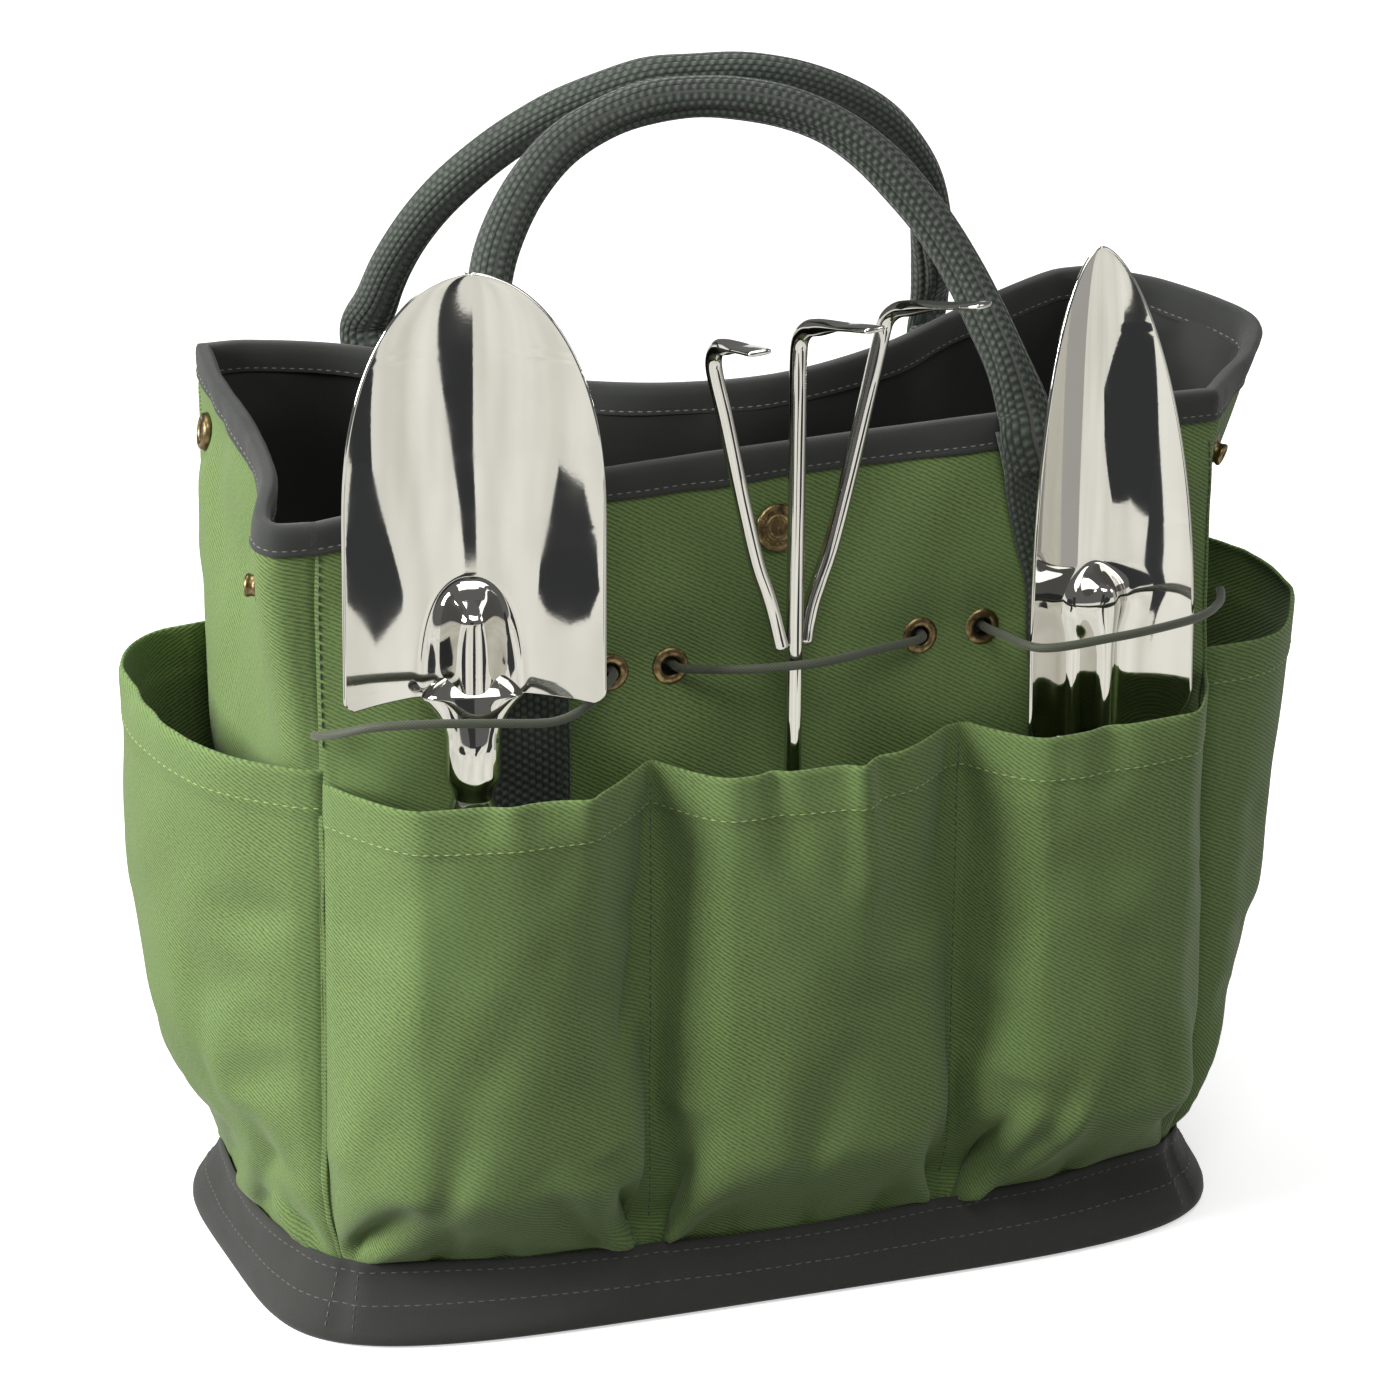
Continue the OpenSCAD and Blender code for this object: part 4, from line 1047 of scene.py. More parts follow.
# ------------------------------------------------------------------ rim binding
def make_binding():
    K = 640
    S = np.arange(K) / K * 4
    sec = np.array([(0.35, 10.0), (0.9, 10.25), (1.45, 10.1), (1.7, 9.5), (1.55, 8.5), (1.35, 7.6), (1.5, 6.5), (1.7, 4), (1.75, 1.5), (1.6, 0), (1.15, -0.95),
                    (0.3, -1.5), (-0.9, -1.75), (-2.2, -1.7), (-3.4, -1.4), (-4.2, -0.8), (-4.7, 0.3), (-4.85, 2), (-4.8, 5), (-4.65, 7.4), (-4.5, 8.4), (-4.75, 9.4),
                    (-4.6, 10.1), (-4.1, 10.25), (-3.5, 10.0), (-3.45, 5), (-3.4, 0.3), (-2.4, -0.15), (-0.6, -0.15), (0.3, 0.3), (0.35, 5)])
    R = rim(S)
    sec[:, 1] = np.where(sec[:, 1] > 2, 2 + (sec[:, 1] - 2) * 0.78, sec[:, 1])
    sec[:, 0] = np.where(sec[:, 0] > 1, sec[:, 0] - 0.45, np.where(sec[:, 0] < -4, sec[:, 0] + 0.5, sec[:, 0]))
    D = np.array([0.0, 5.0, 10.5])
    P3 = np.stack([bilinear(SKIN, (R[:, 2] - d - 21) / (R[:, 2] - 21) * (ROWS - 1), S * COLS) for d in D])
    T = np.roll(P3[0], -2, 0) - np.roll(P3[0], 2, 0)
    N = np.stack([T[:, 1], -T[:, 0], np.zeros(K)], 1)
    N /= np.linalg.norm(N, axis=1, keepdims=True)
    N = blur(N[None], 5, True, axes=(1,))[0]
    N /= np.linalg.norm(N, axis=1, keepdims=True)
    wig = 0.30 * bumps((1, K), 1, 10, 51, True)[0] + 0.22 * bumps((1, K), 1, 5, 52, True)[0]
    V = np.zeros((K, len(sec), 3))
    for q, (o, d) in enumerate(sec):
        f = np.clip(d / 10.5, 0, 1)
        base = P3[0] * (1 - f) + P3[2] * f
        base = base.copy()
        base[:, 2] = R[:, 2] - d * (1 + 0.03 * wig)
        V[:, q] = base + N * (o + wig * (0.5 if 0 < d < 10 else 0.2) * np.sign(o + 1.5))[:, None]
    n, m = V.shape[:2]
    V = V.transpose(1, 0, 2)                      # rows: section, columns: along the rim
    F = []
    for i in range(m):
        i2 = (i + 1) % m
        for j in range(n):
            j2 = (j + 1) % n
            F.append((i * n + j, i * n + j2, i2 * n + j2, i2 * n + j))
    L = np.concatenate([[0], np.cumsum(np.linalg.norm(np.diff(V[8], axis=0), axis=1))])
    sl = np.concatenate([[0], np.cumsum(np.linalg.norm(np.diff(sec, axis=0), axis=1))])
    uv = np.stack(np.broadcast_arrays(L[None, :], sl[:, None]), -1).reshape(-1, 2)
    to_mesh("charcoal_rim_binding", V.reshape(-1, 3), F, BINDING, uv, slot="trim_fabric", replaces=["rim_binding"])
    ring = lambda a: np.concatenate([a, a[:1]])
    stitches("rim_stitches_outside", ring(V[5]), ring(N), THREAD_K, 3.0, 2.1, 0.42, 0.05, slot="trim_fabric")
    stitches("rim_stitches_inside", ring(V[20]), ring(-N), THREAD_K, 3.0, 2.1, 0.42, 0.05, slot="trim_fabric")


make_binding()


# ------------------------------------------------------------------ pockets
SEAM_X = [-150, -47, 57, 150]


def lobe(t):
    return np.maximum(0, 1 - np.abs(2 * t - 1) ** 2.6) ** 0.75


def ramp(x):
    return np.sin(np.pi / 2 * np.clip(x, 0, 1)) ** 1.15


# mouth of each front pocket: share of its width over which it leaves the canvas at the left and at the right, and how far it stands out
MOUTHS = {1: [(0.22, 0.36, 27), (0.20, 0.42, 24.5), (0.25, 0.22, 28.5)], -1: [(0.3, 0.34, 16), (0.3, 0.3, 16), (0.34, 0.3, 16)]}


def mouth(p, t, sign, z):
    a, b, d = np.array(MOUTHS[sign]).T
    up = ramp(t / a[p]) * ramp((1 - t) / b[p]) * (0.94 + 0.06 * (1 - (2 * t - 1) ** 2))
    low = np.maximum(0, 1 - np.abs(2 * t - 1) ** 4.4) ** 0.62
    k = sm((z - 40) / 110)
    return (up[None] * k + low[None] * (1 - k)) * d[p][None]


def hem_step(P, N, down):
    """The folded hem stands half a millimetre proud over the top 15 mm."""
    return P + N * (0.5 * (1 - sm((down - 14.2) / 1.6)))[..., None]


# folds of the front pockets: foot (x, z), end (x, z), depth in mm (minus is a valley), width
FRONT_FOLDS = [
    ((-47, 21), (-66, 70), -5.5, 5.5), ((-47, 21), (-38, 76), -5.0, 5.0), ((-52, 22), (-82, 44), 3.6, 6.0), ((-44, 24), (-26, 56), 3.4, 6.5),
    ((-47, 30), (-47, 130), -1.6, 7.0), ((-54, 110), (-42, 178), -2.4, 8.0), ((-70, 34), (-96, 66), -3.2, 7.0), ((-60, 60), (-78, 120), 1.8, 10.0),
    ((57, 21), (73, 74), -6.5, 6.0), ((57, 21), (44, 64), -3.6, 5.0), ((62, 24), (88, 48), 4.2, 7.0), ((54, 24), (34, 46), 3.0, 6.5),
    ((61, 84), (76, 168), -2.6, 9.0), ((92, 56), (116, 112), 2.2, 12.0), ((76, 40), (100, 84), -2.4, 8.0),
    ((-149, 23), (-130, 56), -4.0, 5.0), ((-149, 26), (-116, 38), 3.0, 6.0), ((-147, 70), (-126, 160), 2.2, 9.0), ((-120, 60), (-104, 130), -1.8, 11.0),
    ((149, 23), (132, 52), -3.6, 5.0), ((149, 26), (120, 40), 2.8, 6.0), ((146, 60), (131, 130), -2.2, 8.0),
    ((8, 22), (0, 50), -1.6, 6.0), ((-18, 22), (-26, 48), -1.4, 5.0), ((30, 22), (36, 44), -1.4, 5.0), ((0, 60), (22, 120), -1.8, 13.0),
    ((-96, 22), (-102, 44), -1.6, 6.0), ((-120, 22), (-116, 50), -1.6, 5.0), ((104, 22), (100, 48), -1.8, 6.0), ((122, 70), (104, 160), -1.6, 12.0),
    ((-14, 190), (-6, 140), -2.2, 8.0), ((14, 190), (20, 110), 2.4, 7.0), ((24, 186), (34, 120), -2.0, 9.0), ((-100, 190), (-92, 140), 1.6, 12.0), ((-76, 190), (-70, 120), 1.8, 8.0), ((100, 190), (94, 130), -1.6, 12.0),
]
BACK_FOLDS = [((a[0], a[1]), (b[0], b[1]), d * 0.8, w) for a, b, d, w in FRONT_FOLDS[:16]]


def make_strip(name, sign, bulge, folds, replaces, seed):
    C, n = 58, 92
    cols = np.array([(p, j / C) for p in range(3) for j in range(C)] + [(2, 1.0)])
    if sign < 0:
        cols = cols[::-1]
    p = cols[:, 0].astype(int)
    t = cols[:, 1]
    x0 = np.array(SEAM_X)[p] * 0.992
    x1 = np.array(SEAM_X)[p + 1] * 0.992
    x = x0 + (x1 - x0) * t
    w = np.linspace(0, 1, n) ** 0.92
    z = 21 + 170 * w[:, None] + 0 * x[None]
    X = x[None, :] + 0 * z
    s = (X / 150 + 1) / 2 if sign > 0 else 2 + (1 - X / 150) / 2
    s = np.clip(s, 0.001, 0.999) if sign > 0 else np.clip(s, 2.001, 2.999)
    q, _ = on_skin(s, z)
    base = cad_body(s, z)[..., 1]
    lb = lobe(t)[None, :]
    rise = sm((z - 20) / 41)
    out = 1.3 + 2.4 * np.minimum(1, lb * 3) + mouth(p, t, sign, z) * rise
    # the foot of each pocket hangs a little over the band, and the mouth gapes
    droop = 0.4 * lb * np.exp(-((z - 30) / 9) ** 2)
    y = base - sign * out
    P = np.stack([X * cx(z) / 150, y, z - droop], -1)
    P0 = P.copy()
    N = grid_normals(P)
    f = np.zeros(z.shape)
    for a, b, d, wd in folds:
        f = f + crease(X, z, a, b, d * (1.9 if abs(d) > 3.3 else 1.3), wd)
    keep = sm(lb / 0.25) * sm((z - 21) / 4)
    P = P + N * (f * (0.35 + 0.65 * keep) * sm((z - 22.5) / 6))[..., None]
    # cloth
    k1, k2 = 3, 2
    ii = np.unique(np.concatenate([np.arange(0, n, k2), [n - 1]]))
    jj = np.unique(np.concatenate([np.arange(0, len(x), k1), [C, 2 * C, len(x) - 1]]))
    L = P[ii][:, jj]
    pin = np.full(L.shape[:2], 0.035)
    tt = t[jj]
    pin = pin + (1 * gauss(np.minimum(tt, 1 - tt) / 0.035))[None, :]
    pin[0] = 1
    pin[1] = 0.5
    pin[-1] = np.maximum(pin[-1], 0.35)
    pin[-2] = np.maximum(pin[-2], 0.2)
    Q = cloth_relax(L, np.minimum(pin, 1), slack=0.010, frames=18, bend=1.6, cap=4.5, push=0.12)
    D = Q - L
    if np.abs(D).max() > 0:
        A = catmull(D.reshape(len(ii), -1), ii.astype(float), np.arange(n, dtype=float)).reshape(n, len(jj), 3)
        A = catmull(A.transpose(1, 0, 2).reshape(len(jj), -1), jj.astype(float), np.arange(len(x), dtype=float)).reshape(len(x), n, 3).transpose(1, 0, 2)
        P = P + A
    R = z.shape
    bz = (1.0 * bumps(R, 18, 16, seed) + 0.4 * bumps(R, 7, 6, seed + 1)) * keep
    P = P + N * bz[..., None]
    # never behind the canvas
    lim = q[..., 1] - sign * (1.3 + 1.3 * np.minimum(1, lb * 3))
    P[..., 1] = np.minimum(P[..., 1], lim) if sign > 0 else np.maximum(P[..., 1], lim)
    P[0] = P0[0]
    N = grid_normals(P)
    P = hem_step(P, N, 191 - z)
    o = shell(name, P, 1.2, CANVAS, slot="canvas", replaces=replaces)
    i = int(np.argmin(np.abs(w * 170 - (170 - 13.2))))
    stitches(name + "_hem_stitches", P[i] + N[i] * 0.0, N[i], THREAD_G, 3.3, 2.3, 0.45, 0.05)
    zz = np.arange(5, n - 2)
    for kx in (C, 2 * C):
        line = P[zz, kx]
        nn = np.tile(np.array([0, -float(sign), 0]), (len(zz), 1))
        stitches(name + "_divider_stitches_%d" % (kx // C), line, nn, THREAD_D, 3.0, 2.1, 0.55, 0.1)
    return P


FP = make_strip("front_pockets_canvas", 1, 27, FRONT_FOLDS, ["front_pocket_strip"], 61)
BP = make_strip("back_pockets_canvas", -1, 16, BACK_FOLDS, ["back_pocket_strip"], 71)

LEFT_FOLDS = [  # place along y from back to front, z
    ((50, 21), (14, 74), -5.5, 6.0), ((56, 22), (36, 92), -3.6, 6.0), ((44, 24), (20, 92), 3.6, 8.0), ((24, 22), (-14, 62), -4.4, 6.5), ((14, 22), (-30, 40), 3.2, 7.0), ((-14, 22), (-42, 58), -3.6, 6.0),
    ((-54, 22), (-34, 74), -4.6, 6.0), ((-50, 22), (-20, 52), 3.0, 7.0), ((0, 70), (14, 150), 2.0, 14.0), ((40, 60), (28, 130), -2.4, 10.0), ((-20, 80), (-28, 170), -2.0, 12.0)]
RIGHT_FOLDS = [
    ((-56, 22), (-36, 70), -5.5, 5.0), ((-56, 24), (-46, 90), 3.4, 6.0), ((-38, 22), (-12, 60), -4.0, 6.0), ((-16, 23), (4, 60), 2.6, 7.0), ((14, 22), (28, 60), -3.4, 6.0), ((52, 22), (36, 70), -4.0, 6.0)]


def make_side(name, k, bulge, skew, folds, replaces, seed):
    C, n = 76, 92
    t = np.linspace(0, 1, C + 1)
    w = np.linspace(0, 1, n) ** 0.92
    top = 200 - (5.5 * sm(t) if k == 3 else 0) - (4 * gauss((t - 0.12) / 0.15) if k == 1 else 0)
    z = 21 + (top[None, :] - 21) * w[:, None]
    s = k + 0.004 + 0.992 * t[None, :] + 0 * z
    q, _ = on_skin(s, z)
    cad = cad_body(s, z)
    tau = t ** skew
    pr = np.maximum(0, 1 - np.abs(2 * tau - 1) ** 2.7) ** 0.8
    rise = sm((z - 20) / 84) ** 0.85
    out = 1.25 + bulge * pr[None, :] * rise * (0.70 + 0.30 * sm((z - 50) / 120))
    droop = 0.4 * pr[None, :] * np.exp(-((z - 30) / 9) ** 2)
    sg = 1 if k == 1 else -1
    P = np.stack([cad[..., 0] + sg * out, cad[..., 1], z - droop], -1)
    # the mouth leans with the bulge
    P0 = P.copy()
    N = grid_normals(P)
    along = -P[..., 1] if k == 3 else P[..., 1]
    U = P[..., 1]
    f = np.zeros(z.shape)
    for a, b, d, wd in folds:
        f = f + crease(U, z, a, b, d * (1.5 if abs(d) > 3.3 else 1.3), wd)
    keep = sm(pr / 0.25)[None, :] * sm((z - 21) / 4)
    P = P + N * (f * (0.3 + 0.7 * keep) * sm((z - 22.5) / 8))[..., None]
    ii = np.unique(np.concatenate([np.arange(0, n, 2), [n - 1]]))
    jj = np.unique(np.concatenate([np.arange(0, C + 1, 2), [C]]))
    L = P[ii][:, jj]
    pin = np.full(L.shape[:2], 0.035)
    pin = pin + gauss(np.minimum(t[jj], 1 - t[jj]) / 0.03)[None, :]
    pin[0] = 1
    pin[1] = 0.5
    pin[-1] = np.maximum(pin[-1], 0.35)
    Q = cloth_relax(L, np.minimum(pin, 1), slack=0.012, frames=18, bend=1.6, cap=4.5, push=0.14)
    D = Q - L
    if np.abs(D).max() > 0:
        A = catmull(D.reshape(len(ii), -1), ii.astype(float), np.arange(n, dtype=float)).reshape(n, len(jj), 3)
        A = catmull(A.transpose(1, 0, 2).reshape(len(jj), -1), jj.astype(float), np.arange(C + 1, dtype=float)).reshape(C + 1, n, 3).transpose(1, 0, 2)
        P = P + A
    R = z.shape
    P = P + N * ((1.0 * bumps(R, 18, 16, seed) + 0.4 * bumps(R, 7, 6, seed + 1)) * keep)[..., None]
    lim = q[..., 0] + sg * 1.25
    P[..., 0] = np.maximum(P[..., 0], lim) if sg > 0 else np.minimum(P[..., 0], lim)
    # both ends are sewn into the corner seams
    sewn = gauss(np.minimum(t, 1 - t) / 0.014)[None, :]
    P[..., 0] += (q[..., 0] - sg * 0.5 - P[..., 0]) * sewn
    P[..., 1] += (q[..., 1] - P[..., 1]) * sewn
    P[0] = P0[0]
    N = grid_normals(P)
    P = hem_step(P, N, top[None, :] - z)
    shell(name, P, 1.2, CANVAS, slot="canvas", replaces=replaces)
    i = int(np.argmin(np.abs(w * 178 - (178 - 13.2))))
    stitches(name + "_hem_stitches", P[i], N[i], THREAD_G, 3.3, 2.3, 0.45, 0.05)
    return P


LP = make_side("left_pocket_canvas", 3, 30, 0.72, LEFT_FOLDS, ["left_pocket"], 81)
RP = make_side("right_pocket_canvas", 1, 31, 0.72, RIGHT_FOLDS, ["right_pocket"], 91)
BAND = make_band()

# dark thread down the two front corner seams, above the pocket mouths
for nm, s, sgn in (("left", 0.0, -1), ("right", 1.0, 1)):
    zz = np.linspace(203, 270, 60)
    p, n1 = on_skin(np.full(60, abs(s - 0.004)), zz)
    nn = np.tile(np.array([sgn * 0.7, -0.7, 0.0]), (60, 1))
    stitches("corner_seam_thread_" + nm, p, nn, THREAD_D, 3.2, 2.4, 0.6, 0.3)


# ------------------------------------------------------------------ webbing
def make_leg(name, x_of, back, top_pts, replaces):
    """A flat strap from the base up the canvas, folding narrow and thick at the rim; top_pts is not used."""
    n, m = 150, 26
    z = np.linspace(24, 283, n)
    e = np.linspace(-1, 1, m)
    half = 16 * (1 - 0.42 * sm((z - 240) / 42))
    th = 1.6 + 2.9 * sm((z - 243) / 38)
    X = x_of(z)
    lift = 0.7 + 1.5 * sm((z - 262) / 8)
    A = np.zeros((n, m, 3))
    B = np.zeros((n, m, 3))
    for j in range(m):
        x = X + e[j] * half * (1 if not back else -1)
        if not back:
            s = (x / cx(z) + 1) / 2
        else:
            s = 2 + (1 - x / cx(z)) / 2
        p, nn = on_skin(s, np.minimum(z, rim(s)[:, 2] - 1))
        p[:, 2] += np.maximum(0, z - (rim(s)[:, 2] - 1))
        prof = 1 - 0.30 * abs(e[j]) ** 5
        B[:, j] = p + nn * lift[:, None]
        A[:, j] = p + nn * (lift + th * prof)[:, None]
    V = []
    uv = []
    Lz = np.concatenate([[0], np.cumsum(np.linalg.norm(np.diff(A[:, m // 2], axis=0), axis=1))])
    rowsn = []
    for i in range(n):
        side1 = (A[i, -1] + B[i, -1]) / 2 + (A[i, -1] - A[i, -2]) * 0.5
        side0 = (A[i, 0] + B[i, 0]) / 2 + (A[i, 0] - A[i, 1]) * 0.5
        ring = np.concatenate([A[i], side1[None], B[i][::-1], side0[None]])
        rowsn.append(ring)
        uu = np.concatenate([(e + 1) * 16, [32.5], (e[::-1] + 1) * 16, [-0.5]])
        uv.append(np.stack([uu, np.full(len(uu), Lz[i])], 1))
    V = np.concatenate(rowsn)
    uv = np.concatenate(uv)
    k = 2 * m + 2
    F = list(map(tuple, grid_faces(n, k, 0, True)))
    for end in (0, n - 1):
        ids = [end * k + j for j in range(k)]
        for j in range(m - 1):
            a, b, c, d = ids[j], ids[j + 1], ids[2 * m - 1 - j], ids[2 * m - j]
            q = (a, d, c, b) if end == 0 else (a, b, c, d)
            F.append(q)
        t1 = (ids[m - 1], ids[m + 1], ids[m]) if end == 0 else (ids[m - 1], ids[m], ids[m + 1])
        t0 = (ids[0], ids[2 * m + 1], ids[2 * m]) if end == 0 else (ids[0], ids[2 * m], ids[2 * m + 1])
        F += [t1, t0]
    return V, F, uv, A


def leg_x(low, high):
    return lambda z: low + (high - low) * sm((z - 225) / 60)


legs = {}
for nm, pair, back, node in (("front", ((-88, -92), (97, 81)), False, "front_handle_straps"), ("back", ((-95, -95), (93, 93)), True, "back_handle_straps")):
    parts, tops = [], []
    for lo, hi in pair:
        V, F, U, A = make_leg(nm, leg_x(lo, hi), back, None, None)
        parts.append((V, F, U))
        tops.append(A)
    V, F, U = join(parts)
    to_mesh(nm + "_webbing_straps", V, F, WEB, U, slot="webbing", replaces=[node])
    legs[nm] = tops
    for q, A in enumerate(tops):
        for side in (2, -3):
            r = slice(4, 118)
            nn = grid_normals(A)[r, side]
            stitches("%s_strap_stitches_%d_%d" % (nm, q, side), A[r, side], nn if nn[:, 1].mean() * (1 if nm == "back" else -1) > 0 else -nn, THREAD_W, 3.4, 2.3, 0.5, 0.05, slot="webbing")

F_ARCH = [[-92, 1], [-93, 20], [-91, 42], [-85, 63.5], [-78.5, 76.5], [-69, 89], [-56.5, 100], [-42, 107], [-26.5, 111], [-10, 111.5], [4.5, 109.5], [20, 105], [34, 97.5], [45.5, 87], [54.5, 75], [62.5, 61.5], [69, 46.5], [75, 28], [79, 13], [81, 1]]
B_ARCH = [[-92, 1], [-89.5, 12], [-86, 27], [-80.5, 41.5], [-73, 55], [-63, 68], [-51, 80], [-35, 91.5], [-13.5, 101], [5.5, 103], [21.5, 102.5], [38, 98.5], [52, 92], [65, 82.5], [76.5, 69], [84.5, 55], [89.5, 37.5], [93, 16], [94, 1]]


def make_arch(name, P, a, b, up, na, nb, tops, node):
    a, b, up = np.array(a, float), np.array(b, float), np.array(up, float)
    ax = (b - a) / np.linalg.norm(b - a)
    u = up - ax * (up @ ax)
    u /= np.linalg.norm(u)
    m = (a + b) / 2
    L = [m + ax * (q[0] - (a[0] + b[0]) / 2) / abs(ax[0]) + u * q[1] for q in np.array(P, float)]
    nn = np.cross(ax, up)
    nn /= np.linalg.norm(nn)
    mids = []
    for A in tops:
        c = A[:, A.shape[1] // 2]
        ctr = (A[:, A.shape[1] // 2] + A[:, A.shape[1] // 2 - 1]) / 2
        mids.append(ctr)
    first = [mids[0][-8], mids[0][-2]]
    last = [mids[1][-2], mids[1][-8]]
    path = np.array(first + L + last)
    C, total = smooth_path(path, 330)
    ln = np.linspace(0, total, len(C))
    d = np.minimum(ln, total - ln)
    f = sm((d - 8) / 34)
    g = sm((d - 12) / 55)
    na, nb = np.array(na, float), np.array(nb, float)
    dirs = nn[None] * g[:, None] + np.where((ln < total / 2)[:, None], na[None], nb[None]) * (1 - g[:, None])
    normal = 2.35 + (6.2 - 2.35) * f
    inplane = 9.6 - 2.85 * f
    wob = bumps((1, len(C)), 1, 14, 101)[0] * 0.22
    V, F, U = tube_mesh(C, normal + wob, inplane + wob, dirs, sides=60, sq=2.35, cap=True, cap_round=0.3)
    # the folded tape's own seam runs along the inner side
    n = len(C)
    ring = V[:n * 60].reshape(n, 60, 3)
    ctr = C[:, None]
    k = np.arange(60)
    dip = 1.3 * np.exp(-((k - 9) / 1.7) ** 2) + 0.9 * np.exp(-((k - 39) / 1.7) ** 2)
    ring -= (ring - ctr) / np.linalg.norm(ring - ctr, axis=2, keepdims=True) * (dip[None, :] * f[:, None])[..., None]
    V[:n * 60] = ring.reshape(-1, 3)
    o = to_mesh(name, V, F, WEB, U, body=None, slot="webbing", replaces=[node])
    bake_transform(o)
    return o


make_arch("front_webbing_handle", F_ARCH, (-92, -68.8, 288), (81, -68.8, 288), (0, 54, 96), (0, -1, 0), (0, -1, 0), legs["front"], "front_handle")
make_arch("back_webbing_handle", B_ARCH, (-96, 70, 291), (94, 45.5, 286.5), (0, -46, 105), (-0.1, -1, 0), (0.5, -0.87, 0), legs["back"], "back_handle")


# ------------------------------------------------------------------ hardware
def put(name, profile, spots, mat, slot, replaces=(), segs=56, extra=None):
    parts = [lathe(profile, segs, p, n) for p, n in spots]
    if extra:
        parts += extra
    V, F, U = join(parts)
    return to_mesh(name, V, F, mat, U, slot=slot, replaces=replaces)


flange = round_profile([(2.8, -4), (3.6, -4), (3.6, 0.1), (5.6, 0.1), (6.05, 0.35), (5.9, 0.9), (5.2, 1.35), (4.2, 1.5), (3.3, 1.25), (2.8, 0.6)], 0.22, 2)
put("brass_eyelets", flange, eye_spots, BRASS, "brass", ["front_eyelets"])

cap_spot = [on_skin(ring_place(1), 261.0)]
cap_prof = round_profile([(0.02, 0.5), (7.2, 0.5), (7.6, 0.9), (7.45, 1.5), (6.9, 1.9), (6.3, 1.75), (6.0, 1.35), (4.2, 1.3), (3.8, 1.55), (3.2, 1.6), (2.7, 1.35), (0.02, 1.4)], 0.2, 2)
p0, n0 = cap_spot[0]
n0 = n0 / np.linalg.norm(n0)
ua = np.cross([0, 0, 1], n0)
ua /= np.linalg.norm(ua)
ub = np.cross(n0, ua)
beads = []
for k in range(18):
    a = 2 * math.pi * k / 18
    c = p0 + (ua * math.cos(a) + ub * math.sin(a)) * 5.1 + n0 * 1.32
    beads.append(lathe([(0, 0.36), (0.26, 0.28), (0.4, 0), (0.26, -0.28), (0, -0.36)], 10, c, n0))
post = [lathe(round_profile([(0.02, -3.2), (1.55, -3.2), (1.55, 0.6), (0.02, 0.6)], 0.1, 1), 32, p0, n0)]
put("closing_snap_brass_cap", cap_prof, cap_spot, BRASS, "brass", ["closing_snap_cap"], extra=beads + post)

sock = round_profile([(0.02, 0.3), (5.9, 0.3), (6.25, 0.8), (6.1, 1.8), (5.6, 2.7), (4.8, 3.05), (4.0, 2.8), (3.6, 2.3), (3.6, 1.1), (0.02, 1.05)], 0.2, 2)
stud = round_profile([(0.02, 0.3), (5.7, 0.3), (5.95, 0.65), (5.7, 1.1), (3.7, 1.5), (3.3, 2.4), (3.35, 3.4), (3.8, 4.3), (3.5, 5.1), (2.8, 5.3), (2.2, 4.9), (2.2, 1.6), (0.02, 1.6)], 0.2, 2)
SOCK = [on_skin(1.8, 262.0), on_skin(3.1, 269.0)]
STUD = [on_skin(1.2, 258.0), on_skin(3.8, 250.0)]
put("gusset_brass_sockets", sock, SOCK, BRASS, "brass", ["gusset_snap_sockets"])
well = [(0.02, 1.12), (3.4, 1.12), (3.62, 1.5), (3.55, 1.9), (3.2, 1.45), (2.4, 1.35), (0.02, 1.3)]
put("gusset_socket_wells", well, SOCK, WELL, "brass")
put("gusset_brass_studs", stud, STUD, BRASS, "brass", ["gusset_snap_studs"])
backs = round_profile([(0.02, -4.4), (5.2, -4.4), (5.75, -4.0), (5.5, -3.5), (1.5, -3.4), (1.5, 0.5), (0.02, 0.5)], 0.15, 2)
put("gusset_brass_posts", backs, SOCK + STUD, BRASS, "brass", ["gusset_snap_posts"])

# ------------------------------------------------------------------ hand tools


def placing(at, turn):
    a = math.radians(turn)
    R = np.array([[math.cos(a), -math.sin(a), 0], [math.sin(a), math.cos(a), 0], [0, 0, 1]])
    return lambda P: np.asarray(P, float) @ R.T + np.array(at, float)


at_trowel = placing((-107, -84.5, 62), -13)
at_cult = placing((-3, -88.5, 58), 14)
at_plant = placing((104, -84.5, 60), 9)


def steel_piece(name, parts, place, body, replaces):
    V, F, U = join(parts)
    return to_mesh(name, place(V), F, STEEL, U, body=body, slot="steel", replaces=replaces)


